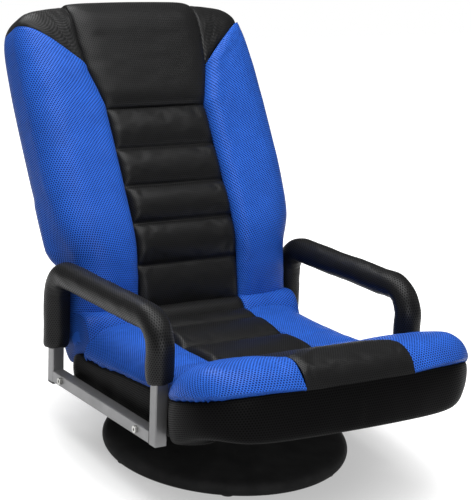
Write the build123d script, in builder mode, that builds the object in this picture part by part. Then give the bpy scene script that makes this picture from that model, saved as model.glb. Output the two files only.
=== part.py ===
from build123d import *
import math
import os

os.makedirs("parts", exist_ok=True)

# Floor gaming chair. Millimetres, +Z up, the sitter faces -Y, the floor is Z = 0
# and the swivel axis is the Z axis. Left and right are as seen from the front.

# Swivel base
RING_R = 238.0
RING_TUBE = 22.0
FOOT_H = 4.0
FOOT_D = 28.0
FOOT_R = 232.0
FOOT_COUNT = 6
CENTRE_FOOT_D = 60.0
CROSS_W = 30.0
CROSS_H = 16.0
CROSS_WALL = 2.0
WELD_GAP = 0.2
HUB_D = 150.0
HUB_T = 4.0
RACE_R = 50.0
RACE_PLATE_T = 3.0
BALL_D = 8.0
BALL_COUNT = 16
BALL_CLEAR = 0.35
RACE_GAP = 6.4
KING_PIN_D = 16.0
PIN_CLEAR = 0.05
SCREW_D = 6.0
SCREW_CLEAR = 0.3
SCREW_CIRCLE = 60.0
COVER_T = 2.0

# Tilt of everything above the swivel
SEAT_TILT = 4.8
TILT_Z = 137.0

# Steel seat frame, square tube
RAIL = 20.0
RAIL_WALL = 1.5
RAIL_X = 222.0
RAIL_Z = 127.5
RAIL_FRONT_Y = -205.0
RAIL_REAR_Y = 192.0
CROSS_RAIL_Y = 70.0
REAR_RAIL_Y = 130.0
BOW_D = 20.0
BOW_REACH = 190.0
BOW_RISE = 0.36
BOW_BEND_R = 60.0
BOW_MITRE = 6.0
BOW_CLEAR = 0.4
STRAP_T = 2.0
STRAP_W = 46.0
COLUMN_D = 110.0
COLUMN_WALL = 3.0
FLANGE_T = 4.0

# Armrests, square tube bent to a loop
ARM_X = 282.5
ARM_TUBE = 25.0
ARM_WALL = 2.0
ARM_FRONT_Y = -206.5
ARM_REAR_Y = 223.5
ARM_BOTTOM_Z = 115.0
ARM_TOP_Z = 348.0
ARM_BEND_R = 55.0
SLEEVE_D = 55.0
SLEEVE_CLEAR = 0.3
SLEEVE_REAR_Z = 188.0
SLEEVE_FRONT_Z = 236.0
ARM_BOLT_Y = (-144.0, 176.0)
ARM_BOLT_D = 8.0
BOLT_CLEAR = 0.3
BOLT_HEAD_D = 14.0
BOLT_HEAD_H = 4.5
SPACER_D = 16.0

# Seat cushion
SEAT_HALF_W = 262.0
SEAT_FLARE_W = 300.0
SEAT_FRONT_Y = -464.0
SEAT_REAR_Y = 205.0
SEAT_BOTTOM_Z = 112.0
SEAT_SEAM_Z = 200.0
UPTURN_Y = -190.0
UPTURN_SLOPE = 0.26
STRIP_HALF_W = 120.0
PAD_GAP = 0.4
CHANNEL_CROWN = 8.0
DUST_T = 1.2

# Recline hinge
PIVOT_Y = 170.0
PIVOT_Z = 228.0
LEAF_T = 4.0
LEAF_GAP = 0.5
HINGE_PIN_D = 10.0
RATCHET_R = 26.0
TOOTH_DEPTH = 4.0
TOOTH_PITCH = 15.0
PAWL_PIN_D = 6.0
PAWL_CLEAR = 0.3

# Back cushion and frame
BACK_FOOT_Y = 166.0
BACK_FOOT_Z = 229.0
BACK_LOW_LEAN = 9.7
BACK_LOW_LEN = 178.5
BACK_HIGH_LEAN = 30.3
BACK_HIGH_LEN = 549.0
BACK_THICK = 105.0
BACK_FRONT_LAYER = 52.0
KNEE_R = 160.0
BOLSTER_RISE = 24.0
BACK_HALF_W = 250.0
SHOULDER_HALF_W = 281.0
BACK_TUBE = 22.0
BACK_TUBE_X = 225.0
BACK_TUBE_DEPTH = 66.0
BACK_CAVITY_W = 243.0

TILT = Location((0, 0, TILT_Z), (-SEAT_TILT, 0, 0)) * Location((0, 0, -TILT_Z))
SIDES = (("left", -1), ("right", 1))


def write_level(builder, name):
    """Writes a piece that already stands in the shared frame."""
    builder.part.label = name
    export_step(builder.part, f"parts/{name}.step")


def write_tilted(builder, name):
    """Leans a piece of the seat or back by the seat tilt, then writes it."""
    piece = builder.part.moved(TILT)
    piece.label = name
    export_step(piece, f"parts/{name}.step")


def side_plane(x):
    """A plane across the chair at X = x, whose axes are the chair's Y and Z."""
    return Plane(origin=(x, 0, 0), x_dir=(0, 1, 0), z_dir=(1, 0, 0))


def tilted_plane(z):
    """The level plane at height z of the seat, as it lies once tilted."""
    s = math.sin(math.radians(SEAT_TILT))
    c = math.cos(math.radians(SEAT_TILT))
    return Plane(
        origin=(0, s * (z - TILT_Z), c * (z - TILT_Z) + TILT_Z),
        x_dir=(1, 0, 0),
        z_dir=(0, s, c),
    )


# Swivel base: feet, ring, cross, hub plate and fabric cover
ring_z = FOOT_H + RING_TUBE / 2
cross_low = ring_z - CROSS_H / 2
cross_top = ring_z + CROSS_H / 2

with BuildPart() as base_feet:
    with BuildSketch(Plane.XY):
        with PolarLocations(FOOT_R, FOOT_COUNT):
            Circle(FOOT_D / 2)
    extrude(amount=FOOT_H - 0.1)
    with BuildSketch(Plane.XY):
        Circle(CENTRE_FOOT_D / 2)
    extrude(amount=cross_low - 0.1)
write_level(base_feet, "base_feet")

with BuildPart() as base_ring:
    with BuildSketch(Plane.XZ):
        with Locations((RING_R, ring_z)):
            Circle(RING_TUBE / 2)
            Circle(RING_TUBE / 2 - CROSS_WALL, mode=Mode.SUBTRACT)
    revolve(axis=Axis.Z)
write_level(base_ring, "base_ring")

cross_end = RING_R - RING_TUBE / 2 - WELD_GAP

with BuildPart() as base_cross:
    with BuildSketch(Plane.XY.offset(cross_low)):
        Rectangle(2 * cross_end, CROSS_W)
        Rectangle(CROSS_W, 2 * cross_end)
        Circle(cross_end, mode=Mode.INTERSECT)
    extrude(amount=CROSS_H)
    with BuildSketch(Plane.XY.offset(cross_low + CROSS_WALL)):
        Rectangle(2 * cross_end, CROSS_W - 2 * CROSS_WALL)
        Rectangle(CROSS_W - 2 * CROSS_WALL, 2 * cross_end)
    extrude(amount=CROSS_H - 2 * CROSS_WALL, mode=Mode.SUBTRACT)
    with BuildSketch(Plane.XY.offset(cross_low)):
        Circle(KING_PIN_D)
    extrude(amount=CROSS_H, mode=Mode.SUBTRACT)
write_level(base_cross, "base_cross")

hub_top = cross_top + HUB_T
race_low_top = hub_top + RACE_PLATE_T
race_high = race_low_top + RACE_GAP
race_high_top = race_high + RACE_PLATE_T
ball_z = race_low_top + RACE_GAP / 2
groove_r = BALL_D / 2 + BALL_CLEAR

with BuildPart() as base_hub_plate:
    with BuildSketch(Plane.XY.offset(cross_top)):
        Circle(HUB_D / 2)
        with PolarLocations(SCREW_CIRCLE, 4, start_angle=45):
            Circle(SCREW_D / 2 + SCREW_CLEAR, mode=Mode.SUBTRACT)
        Circle(KING_PIN_D / 2 + SCREW_CLEAR, mode=Mode.SUBTRACT)
    extrude(amount=HUB_T)
write_level(base_hub_plate, "base_hub_plate")

with BuildPart() as swivel_lower_plate:
    with BuildSketch(Plane.XY.offset(hub_top)):
        Circle(HUB_D / 2 - 5)
        with PolarLocations(SCREW_CIRCLE, 4, start_angle=45):
            Circle(SCREW_D / 2 + SCREW_CLEAR, mode=Mode.SUBTRACT)
        Circle(KING_PIN_D / 2 + SCREW_CLEAR, mode=Mode.SUBTRACT)
    extrude(amount=RACE_PLATE_T)
    with BuildSketch(Plane.XZ):
        with Locations((RACE_R, ball_z)):
            Circle(groove_r)
    revolve(axis=Axis.Z, mode=Mode.SUBTRACT)
write_level(swivel_lower_plate, "swivel_lower_plate")

with BuildPart() as swivel_upper_plate:
    with BuildSketch(Plane.XY.offset(race_high)):
        Circle(HUB_D / 2 - 5)
        with PolarLocations(SCREW_CIRCLE, 4):
            Circle(SCREW_D / 2 + SCREW_CLEAR, mode=Mode.SUBTRACT)
        Circle(KING_PIN_D / 2 + PIN_CLEAR, mode=Mode.SUBTRACT)
    extrude(amount=RACE_PLATE_T)
    with BuildSketch(Plane.XZ):
        with Locations((RACE_R, ball_z)):
            Circle(groove_r)
    revolve(axis=Axis.Z, mode=Mode.SUBTRACT)
write_level(swivel_upper_plate, "swivel_upper_plate")

with BuildPart() as ball_cage:
    with BuildSketch(Plane.XY.offset(ball_z - 0.9)):
        Circle(RACE_R + 7)
        Circle(RACE_R - 7, mode=Mode.SUBTRACT)
        with PolarLocations(RACE_R, BALL_COUNT):
            Circle(BALL_D / 2 + 0.2, mode=Mode.SUBTRACT)
    extrude(amount=1.8)
write_level(ball_cage, "ball_cage")

with BuildPart() as swivel_balls:
    for i in range(BALL_COUNT):
        angle = 2 * math.pi * i / BALL_COUNT
        with Locations((RACE_R * math.cos(angle), RACE_R * math.sin(angle), ball_z)):
            Sphere(BALL_D / 2)
write_level(swivel_balls, "swivel_balls")

# The king pin is riveted under the hub plate and its head holds the upper plate down.
with BuildPart() as king_pin:
    with BuildSketch(Plane.XY.offset(cross_top - 3)):
        Circle(KING_PIN_D / 2 + 4)
    extrude(amount=3)
    with BuildSketch(Plane.XY.offset(cross_top)):
        Circle(KING_PIN_D / 2)
    extrude(amount=race_high_top + 0.5 - cross_top)
    with BuildSketch(Plane.XY.offset(race_high_top + 0.5)):
        Circle(KING_PIN_D / 2 + 6)
    extrude(amount=4)
write_level(king_pin, "king_pin")

with BuildPart() as hub_screws:
    with PolarLocations(SCREW_CIRCLE, 4, start_angle=45):
        with Locations((0, 0, cross_top - 4)):
            Cylinder(5, 4, align=(Align.CENTER, Align.CENTER, Align.MIN))
        with Locations((0, 0, cross_top)):
            Cylinder(SCREW_D / 2, race_low_top - cross_top - 0.5,
                     align=(Align.CENTER, Align.CENTER, Align.MIN))
write_level(hub_screws, "hub_screws")

with BuildPart() as flange_screws:
    with PolarLocations(SCREW_CIRCLE, 4):
        with Locations((0, 0, race_high + 0.3)):
            Cylinder(SCREW_D / 2, RACE_PLATE_T + FLANGE_T - 0.3,
                     align=(Align.CENTER, Align.CENTER, Align.MIN))
        with Locations((0, 0, race_high_top + FLANGE_T)):
            Cylinder(5, 4, align=(Align.CENTER, Align.CENTER, Align.MIN))
write_level(flange_screws, "flange_screws")

# The cover wraps the ring and rises inward to an elastic hem round the column.
wrap_in = RING_TUBE / 2 + 0.4
wrap_out = wrap_in + COVER_T

with BuildPart() as base_cover:
    with BuildSketch(Plane.XZ):
        with BuildLine():
            Line((RING_R - 26, ring_z - wrap_out), (RING_R, ring_z - wrap_out))
            ThreePointArc(
                (RING_R, ring_z - wrap_out),
                (RING_R + wrap_out, ring_z),
                (RING_R, ring_z + wrap_out),
            )
            Polyline((RING_R, ring_z + wrap_out), (170, 35), (112, 47), (78, 64))
            Polyline((78, 64), (78 - COVER_T, 64), (78 - COVER_T, 61.5))
            Polyline(
                (78 - COVER_T, 61.5), (111, 44.5), (169.5, 32.5), (RING_R, ring_z + wrap_in)
            )
            ThreePointArc(
                (RING_R, ring_z + wrap_in),
                (RING_R + wrap_in, ring_z),
                (RING_R, ring_z - wrap_in),
            )
            Line((RING_R, ring_z - wrap_in), (RING_R - 26, ring_z - wrap_in))
            Line((RING_R - 26, ring_z - wrap_in), (RING_R - 26, ring_z - wrap_out))
        make_face()
    revolve(axis=Axis.Z)
    with BuildSketch(Plane.XY):
        with PolarLocations(FOOT_R, FOOT_COUNT):
            Circle(FOOT_D / 2 + 1)
    extrude(amount=4, mode=Mode.SUBTRACT)
write_level(base_cover, "base_cover")

# Column between the upper swivel plate and the tilted seat frame
rail_low = RAIL_Z - RAIL / 2
rail_top = RAIL_Z + RAIL / 2

with BuildPart() as swivel_column:
    with BuildSketch(Plane.XY.offset(race_high_top)):
        Circle(HUB_D / 2 - 5)
        Circle(KING_PIN_D / 2 + 8, mode=Mode.SUBTRACT)
        with PolarLocations(SCREW_CIRCLE, 4):
            Circle(SCREW_D / 2 + SCREW_CLEAR, mode=Mode.SUBTRACT)
    extrude(amount=FLANGE_T)
    with BuildSketch(Plane.XY.offset(race_high_top + FLANGE_T)):
        Circle(COLUMN_D / 2 - 3)
        Circle(COLUMN_D / 2 - 3 - COLUMN_WALL, mode=Mode.SUBTRACT)
    extrude(amount=90)
    with BuildSketch(tilted_plane(rail_low - FLANGE_T)):
        Rectangle(300, 300)
    extrude(amount=120, mode=Mode.SUBTRACT)
    with BuildSketch(tilted_plane(rail_low - FLANGE_T)):
        RectangleRounded(150, 2 * CROSS_RAIL_Y + RAIL, 10)
        Circle(30, mode=Mode.SUBTRACT)
        with GridLocations(110, 2 * CROSS_RAIL_Y, 2, 2):
            Circle(ARM_BOLT_D / 2 + BOLT_CLEAR, mode=Mode.SUBTRACT)
    extrude(amount=FLANGE_T)
write_level(swivel_column, "swivel_column")

# Seat frame: two side rails, a front and a rear rail, and two cross rails
for side, sign in SIDES:
    with BuildPart() as side_rail:
        with BuildSketch(Plane.XZ.offset(-RAIL_REAR_Y)):
            with Locations((sign * RAIL_X, RAIL_Z)):
                Rectangle(RAIL, RAIL)
                Rectangle(RAIL - 2 * RAIL_WALL, RAIL - 2 * RAIL_WALL, mode=Mode.SUBTRACT)
        extrude(amount=RAIL_REAR_Y - RAIL_FRONT_Y)
        for y in ARM_BOLT_Y:
            with BuildSketch(side_plane(sign * RAIL_X - RAIL)):
                with Locations((y, RAIL_Z)):
                    Circle(ARM_BOLT_D / 2 + BOLT_CLEAR)
            extrude(amount=2 * RAIL, mode=Mode.SUBTRACT)
    write_tilted(side_rail, f"seat_side_rail_{side}")

rail_span = 2 * (RAIL_X - RAIL / 2 - WELD_GAP)
CROSS_RAILS = (
    ("seat_front_rail", RAIL_FRONT_Y + RAIL / 2, False),
    ("seat_cross_rail_front", -CROSS_RAIL_Y, True),
    ("seat_cross_rail_rear", CROSS_RAIL_Y, True),
    ("seat_rear_rail", REAR_RAIL_Y, False),
)
for name, y, drilled in CROSS_RAILS:
    with BuildPart() as cross_rail:
        with BuildSketch(side_plane(-rail_span / 2)):
            with Locations((y, RAIL_Z)):
                Rectangle(RAIL, RAIL)
                Rectangle(RAIL - 2 * RAIL_WALL, RAIL - 2 * RAIL_WALL, mode=Mode.SUBTRACT)
        extrude(amount=rail_span)
        if drilled:
            with BuildSketch(Plane.XY.offset(rail_low - 1)):
                with Locations((-55, y), (55, y)):
                    Circle(ARM_BOLT_D / 2 + BOLT_CLEAR)
            extrude(amount=RAIL + 2, mode=Mode.SUBTRACT)
    write_tilted(cross_rail, name)

bow_ends = (RAIL_FRONT_Y + BOW_MITRE, RAIL_Z - BOW_RISE * BOW_MITRE)
bow_nose = (RAIL_FRONT_Y - BOW_REACH, RAIL_Z + BOW_RISE * BOW_REACH)
BOW_POINTS = (
    (-RAIL_X, *bow_ends), (-RAIL_X, *bow_nose), (RAIL_X, *bow_nose), (RAIL_X, *bow_ends)
)
BOW_START = Plane(origin=BOW_POINTS[0], x_dir=(1, 0, 0), z_dir=(0, -1, BOW_RISE))

with BuildPart() as seat_front_bow:
    with BuildLine():
        FilletPolyline(*BOW_POINTS, radius=BOW_BEND_R)
    with BuildSketch(BOW_START):
        Circle(BOW_D / 2)
        Circle(BOW_D / 2 - RAIL_WALL, mode=Mode.SUBTRACT)
    sweep()
    with Locations((0, RAIL_FRONT_Y - WELD_GAP, RAIL_Z)):
        Box(3 * RAIL_X, 40, 80, align=(Align.CENTER, Align.MIN, Align.CENTER), mode=Mode.SUBTRACT)
write_tilted(seat_front_bow, "seat_front_bow")

with BuildPart() as column_bolts:
    with GridLocations(110, 2 * CROSS_RAIL_Y, 2, 2):
        with Locations((0, 0, rail_low - FLANGE_T - 5)):
            Cylinder(BOLT_HEAD_D / 2, 5, align=(Align.CENTER, Align.CENTER, Align.MIN))
        with Locations((0, 0, rail_low - FLANGE_T)):
            Cylinder(ARM_BOLT_D / 2, FLANGE_T + RAIL,
                     align=(Align.CENTER, Align.CENTER, Align.MIN))
        with Locations((0, 0, rail_top)):
            Cylinder(6.5, 3.5, align=(Align.CENTER, Align.CENTER, Align.MIN))
write_tilted(column_bolts, "column_bolts")

with BuildPart() as seat_webbing:
    with BuildSketch(Plane.XY.offset(rail_top)):
        for y in (-172, -120, -30, 30, 150):
            with Locations((0, y)):
                Rectangle(2 * (RAIL_X + RAIL / 2 - 1), STRAP_W)
    extrude(amount=STRAP_T)
write_tilted(seat_webbing, "seat_webbing")


def seat_outline(rear_y):
    """Half-mirrored plan of the seat: straight flanks, flared front, bowed front edge."""
    with BuildLine() as plan:
        Polyline(
            (0, rear_y),
            (SEAT_HALF_W, rear_y),
            (SEAT_HALF_W, -222),
            (SEAT_FLARE_W, -268),
            (SEAT_FLARE_W, -350),
            (238, SEAT_FRONT_Y + 30),
        )
        ThreePointArc(
            (238, SEAT_FRONT_Y + 30), (125, SEAT_FRONT_Y + 8), (0, SEAT_FRONT_Y)
        )
        mirror(about=Plane.YZ)
    return plan


def round_plan(sketch, rear_y):
    """Rounds the plan's corners: rear, flare and front."""
    corners = sketch.vertices()
    fillet([v for v in corners if abs(v.Y - rear_y) < 1 and abs(v.X) > 200], 24)
    corners = sketch.vertices()
    fillet([v for v in corners if abs(v.Y + 222) < 1], 36)
    corners = sketch.vertices()
    fillet([v for v in corners if abs(v.Y + 268) < 1], 26)
    corners = sketch.vertices()
    fillet([v for v in corners if abs(v.Y + 350) < 1], 50)
    corners = sketch.vertices()
    fillet([v for v in corners if abs(v.Y - SEAT_FRONT_Y - 30) < 1], 60)


def upturn(y, level):
    """Height at y of a line of the seat that is level and then turns up to the front."""
    return level + UPTURN_SLOPE * max(0, UPTURN_Y - y)


cavity_w = RAIL_X + RAIL / 2 + LEAF_T + LEAF_GAP + LEAF_T + 5.5
cavity_top = rail_top + STRAP_T + 2.5

with BuildPart() as seat_boxing:
    with BuildSketch(Plane.XY.offset(SEAT_BOTTOM_Z)) as boxing_plan:
        add(seat_outline(SEAT_REAR_Y).line)
        make_face()
        round_plan(boxing_plan, SEAT_REAR_Y)
    extrude(amount=200)
    with BuildSketch(side_plane(-SEAT_FLARE_W - 10)):
        with BuildLine():
            Polyline(
                (SEAT_REAR_Y + 5, SEAT_BOTTOM_Z),
                (UPTURN_Y, SEAT_BOTTOM_Z),
                (SEAT_FRONT_Y - 5, upturn(SEAT_FRONT_Y - 5, SEAT_BOTTOM_Z)),
                (SEAT_FRONT_Y + 14, upturn(SEAT_FRONT_Y + 14, SEAT_SEAM_Z)),
                (UPTURN_Y, SEAT_SEAM_Z),
                (SEAT_REAR_Y + 5, SEAT_SEAM_Z),
                close=True,
            )
        make_face()
    extrude(amount=2 * SEAT_FLARE_W + 20, mode=Mode.INTERSECT)
    with BuildSketch(side_plane(-SEAT_FLARE_W)):
        with BuildLine():
            Polyline((165, 202), (210, 140), (210, 202), close=True)
        make_face()
    extrude(amount=2 * SEAT_FLARE_W, mode=Mode.SUBTRACT)
    with BuildSketch(Plane.XY.offset(SEAT_BOTTOM_Z)):
        with Locations((0, (RAIL_FRONT_Y - 8 + SEAT_REAR_Y - 10) / 2)):
            Rectangle(2 * cavity_w, SEAT_REAR_Y - 10 - RAIL_FRONT_Y + 8)
    extrude(amount=cavity_top - SEAT_BOTTOM_Z, mode=Mode.SUBTRACT)
    with BuildSketch(Plane.XY.offset(SEAT_BOTTOM_Z)):
        for sign in (-1, 1):
            with Locations((sign * (RAIL_X + RAIL / 2 + 6), 165)):
                Rectangle(18, 90)
    extrude(amount=100, mode=Mode.SUBTRACT)
    with BuildSketch(side_plane(-SEAT_FLARE_W)):
        with Locations(*[(y, RAIL_Z) for y in ARM_BOLT_Y]):
            Circle(SPACER_D / 2 + 1)
    extrude(amount=2 * SEAT_FLARE_W, mode=Mode.SUBTRACT)
    with BuildLine():
        FilletPolyline(*BOW_POINTS, radius=BOW_BEND_R)
    with BuildSketch(BOW_START):
        Circle(BOW_D / 2 + BOW_CLEAR)
    sweep(mode=Mode.SUBTRACT)
write_tilted(seat_boxing, "seat_boxing")

with BuildPart() as seat_dust_cover:
    with BuildSketch(Plane.XY.offset(SEAT_BOTTOM_Z + 0.3)):
        with Locations((0, (RAIL_FRONT_Y - 8 + SEAT_REAR_Y - 10) / 2)):
            Rectangle(2 * cavity_w - 1, SEAT_REAR_Y - 10 - RAIL_FRONT_Y + 7)
        RectangleRounded(158, 2 * CROSS_RAIL_Y + RAIL + 8, 12, mode=Mode.SUBTRACT)
    extrude(amount=DUST_T)
write_tilted(seat_dust_cover, "seat_dust_cover")

# Seat top: a channelled centre pad that runs over the front roll, and two side pads
SEAT_SEAMS = ((148, 222), (86, 237), (-10, 226), (-134, 227))
ROLL_REAR = (-372, 313)
ROLL_NOSE = (-424, 309)


def crowned(points, rise, flip=1):
    """Arcs from point to point, each bulging by rise to one side."""
    for (y0, z0), (y1, z1) in zip(points, points[1:]):
        length = math.hypot(y1 - y0, z1 - z0)
        ny, nz = (z0 - z1) / length * flip, (y1 - y0) / length * flip
        middle = ((y0 + y1) / 2 + rise * ny, (z0 + z1) / 2 + rise * nz)
        ThreePointArc((y0, z0), middle, (y1, z1))


with BuildPart() as seat_pad:
    with BuildSketch(side_plane(-STRIP_HALF_W + PAD_GAP / 2)):
        with BuildLine():
            Line((158, SEAT_SEAM_Z), SEAT_SEAMS[0])
            crowned(SEAT_SEAMS, CHANNEL_CROWN, -1)
            front_seam = (SEAT_FRONT_Y + 15, upturn(SEAT_FRONT_Y + 15, SEAT_SEAM_Z))
            Line(SEAT_SEAMS[-1], ROLL_REAR)
            ThreePointArc(ROLL_REAR, ROLL_NOSE, front_seam)
            Polyline(front_seam, (UPTURN_Y, SEAT_SEAM_Z), (158, SEAT_SEAM_Z))
        make_face()
    extrude(amount=2 * STRIP_HALF_W - PAD_GAP)
    with BuildSketch(Plane.XY.offset(SEAT_SEAM_Z)) as pad_plan:
        add(seat_outline(165).line)
        make_face()
        round_plan(pad_plan, 165)
    extrude(amount=160, mode=Mode.INTERSECT)
write_tilted(seat_pad, "seat_pad")

# Each station of a side pad: Y, half width there, height of the crown
SIDE_PAD_STATIONS = (
    (119, 256, 207), (104, 258, 224), (70, 260, 236), (0, 260, 234), (-134, 260, 238),
    (-190, 260, 254), (-226, 262, 266), (-262, 288, 280), (-305, 296, 295),
    (-350, 295, 306), (-388, 268, 309), (-418, 234, 300), (-440, 186, 284),
)
SIDE_PAD_SINK = 6.0

for side, sign in SIDES:
    with BuildPart() as side_pad:
        for y, half_w, top in SIDE_PAD_STATIONS:
            edge = STRIP_HALF_W + PAD_GAP / 2
            base = upturn(y, SEAT_SEAM_Z) - SIDE_PAD_SINK
            rise = top - base
            with BuildSketch(Plane(origin=(0, y, 0), x_dir=(1, 0, 0), z_dir=(0, -1, 0))):
                with BuildLine():
                    Line((sign * edge, base), (sign * edge, top - 0.2 * rise))
                    shoulder = edge + 0.72 * (half_w - edge)
                    ThreePointArc(
                        (sign * edge, top - 0.2 * rise),
                        (sign * (edge + 0.35 * (half_w - edge)), top),
                        (sign * shoulder, top - 0.1 * rise),
                    )
                    ThreePointArc(
                        (sign * shoulder, top - 0.1 * rise),
                        (sign * (shoulder + 0.72 * (half_w - shoulder)), top - 0.42 * rise),
                        (sign * half_w, base),
                    )
                    Line((sign * half_w, base), (sign * edge, base))
                make_face()
        loft()
        with BuildSketch(side_plane(-SEAT_FLARE_W - 10)):
            with BuildLine():
                Polyline(
                    (SEAT_REAR_Y, SEAT_SEAM_Z),
                    (UPTURN_Y, SEAT_SEAM_Z),
                    (SEAT_FRONT_Y, upturn(SEAT_FRONT_Y, SEAT_SEAM_Z)),
                    (SEAT_FRONT_Y, 100),
                    (SEAT_REAR_Y, 100),
                    close=True,
                )
            make_face()
        extrude(amount=2 * SEAT_FLARE_W + 20, mode=Mode.SUBTRACT)
    write_tilted(side_pad, f"seat_side_pad_{side}")

# Armrests: bent loop tube, lower tube, padded sleeve, bolts, spacers and end plug
arm_path_points = (
    (ARM_REAR_Y, ARM_BOTTOM_Z),
    (ARM_REAR_Y, ARM_TOP_Z),
    (ARM_FRONT_Y, ARM_TOP_Z),
    (ARM_FRONT_Y, ARM_BOTTOM_Z),
)
sleeve_path_points = (
    (ARM_REAR_Y, SLEEVE_REAR_Z),
    (ARM_REAR_Y, ARM_TOP_Z),
    (ARM_FRONT_Y, ARM_TOP_Z),
    (ARM_FRONT_Y, SLEEVE_FRONT_Z),
)

for side, sign in SIDES:
    arm_x = sign * ARM_X

    def loop(points):
        """The arm's path at this side: up the rear leg, along the top, down the front."""
        return FilletPolyline(*[(arm_x, y, z) for y, z in points], radius=ARM_BEND_R)

    with BuildPart() as arm_frame:
        with BuildLine():
            loop(arm_path_points)
        with BuildSketch(Plane.XY.offset(ARM_BOTTOM_Z)):
            with Locations((arm_x, ARM_REAR_Y)):
                RectangleRounded(ARM_TUBE, ARM_TUBE, 2.5)
                Rectangle(ARM_TUBE - 2 * ARM_WALL, ARM_TUBE - 2 * ARM_WALL, mode=Mode.SUBTRACT)
        sweep()
        with BuildSketch(Plane.XY.offset(ARM_BOTTOM_Z)):
            with Locations((arm_x, ARM_FRONT_Y)):
                Rectangle(ARM_TUBE - ARM_WALL, ARM_TUBE - ARM_WALL)
        extrude(amount=ARM_WALL)
    write_tilted(arm_frame, f"arm_frame_{side}")

    with BuildPart() as arm_plug:
        with BuildSketch(Plane.XY.offset(ARM_BOTTOM_Z - 4)):
            with Locations((arm_x, ARM_REAR_Y)):
                RectangleRounded(ARM_TUBE, ARM_TUBE, 3)
        extrude(amount=4)
        with BuildSketch(Plane.XY.offset(ARM_BOTTOM_Z)):
            with Locations((arm_x, ARM_REAR_Y)):
                plug_w = ARM_TUBE - 2 * ARM_WALL - 0.2
                Rectangle(plug_w, plug_w)
        extrude(amount=14)
    write_tilted(arm_plug, f"arm_plug_{side}")

    with BuildPart() as arm_lower_tube:
        rear_end = ARM_REAR_Y - ARM_TUBE / 2 - WELD_GAP
        front_end = ARM_FRONT_Y + ARM_TUBE / 2 + WELD_GAP
        with BuildSketch(Plane.XZ.offset(-rear_end)):
            with Locations((arm_x, ARM_BOTTOM_Z + ARM_TUBE / 2)):
                RectangleRounded(ARM_TUBE, ARM_TUBE, 2.5)
                Rectangle(ARM_TUBE - 2 * ARM_WALL, ARM_TUBE - 2 * ARM_WALL, mode=Mode.SUBTRACT)
        extrude(amount=rear_end - front_end)
        with BuildSketch(side_plane(arm_x - ARM_TUBE)):
            with Locations(*[(y, RAIL_Z) for y in ARM_BOLT_Y]):
                Circle(ARM_BOLT_D / 2 + BOLT_CLEAR)
        extrude(amount=2 * ARM_TUBE, mode=Mode.SUBTRACT)
    write_tilted(arm_lower_tube, f"arm_lower_tube_{side}")

    with BuildPart() as arm_sleeve:
        with BuildLine():
            loop(sleeve_path_points)
        with BuildSketch(Plane.XY.offset(SLEEVE_REAR_Z)):
            with Locations((arm_x, ARM_REAR_Y)):
                Circle(SLEEVE_D / 2)
                hole_w = ARM_TUBE + 2 * SLEEVE_CLEAR
                Rectangle(hole_w, hole_w, mode=Mode.SUBTRACT)
        sweep()
    write_tilted(arm_sleeve, f"arm_sleeve_{side}")

    bolt_out = ARM_X + ARM_TUBE / 2
    bolt_in = RAIL_X - RAIL / 2
    with BuildPart() as arm_bolts:
        for y in ARM_BOLT_Y:
            with BuildSketch(side_plane(sign * bolt_out)):
                with Locations((y, RAIL_Z)):
                    Circle(BOLT_HEAD_D / 2)
            extrude(amount=sign * BOLT_HEAD_H)
            with BuildSketch(side_plane(sign * bolt_out)):
                with Locations((y, RAIL_Z)):
                    Circle(ARM_BOLT_D / 2)
            extrude(amount=-sign * (bolt_out - bolt_in))
            with BuildSketch(side_plane(sign * bolt_in)):
                with Locations((y, RAIL_Z)):
                    RegularPolygon(7.5, 6)
            extrude(amount=-sign * 6.5)
            with BuildSketch(side_plane(sign * (bolt_out + BOLT_HEAD_H))):
                with Locations((y, RAIL_Z)):
                    RegularPolygon(3.0, 6)
            extrude(amount=-sign * 2.5, mode=Mode.SUBTRACT)
    write_tilted(arm_bolts, f"arm_bolts_{side}")

    with BuildPart() as arm_spacers:
        for y in ARM_BOLT_Y:
            rail_face = RAIL_X + RAIL / 2 + (LEAF_T if y > 0 else 0)
            with BuildSketch(side_plane(sign * rail_face)):
                with Locations((y, RAIL_Z)):
                    Circle(SPACER_D / 2)
                    Circle(ARM_BOLT_D / 2 + BOLT_CLEAR, mode=Mode.SUBTRACT)
            extrude(amount=sign * (ARM_X - ARM_TUBE / 2 - rail_face))
    write_tilted(arm_spacers, f"arm_spacers_{side}")

# Side view of the back: a lower and an upper straight joined by a lumbar bend.
LOW_UP = (math.sin(math.radians(BACK_LOW_LEAN)), math.cos(math.radians(BACK_LOW_LEAN)))
LOW_IN = (LOW_UP[1], -LOW_UP[0])
HIGH_UP = (math.sin(math.radians(BACK_HIGH_LEAN)), math.cos(math.radians(BACK_HIGH_LEAN)))
HIGH_IN = (HIGH_UP[1], -HIGH_UP[0])
KNEE = (
    BACK_FOOT_Y + BACK_LOW_LEN * LOW_UP[0],
    BACK_FOOT_Z + BACK_LOW_LEN * LOW_UP[1],
)
BACK_PLANE = Plane(
    origin=(0, KNEE[0], KNEE[1]), x_dir=(1, 0, 0), z_dir=(0, -HIGH_UP[1], HIGH_UP[0])
)


def low_point(s, depth):
    """A point s up the lower straight from the crease, depth behind the front."""
    return (
        BACK_FOOT_Y + s * LOW_UP[0] + depth * LOW_IN[0],
        BACK_FOOT_Z + s * LOW_UP[1] + depth * LOW_IN[1],
    )


def high_point(t, depth):
    """A point t up the upper straight from the lumbar bend, depth behind the front."""
    return (
        KNEE[0] + t * HIGH_UP[0] + depth * HIGH_IN[0],
        KNEE[1] + t * HIGH_UP[1] + depth * HIGH_IN[1],
    )


def knee_point(depth):
    """Where the two straights meet at this depth."""
    share = 1 + LOW_IN[0] * HIGH_IN[0] + LOW_IN[1] * HIGH_IN[1]
    return (
        KNEE[0] + depth * (LOW_IN[0] + HIGH_IN[0]) / share,
        KNEE[1] + depth * (LOW_IN[1] + HIGH_IN[1]) / share,
    )


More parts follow.
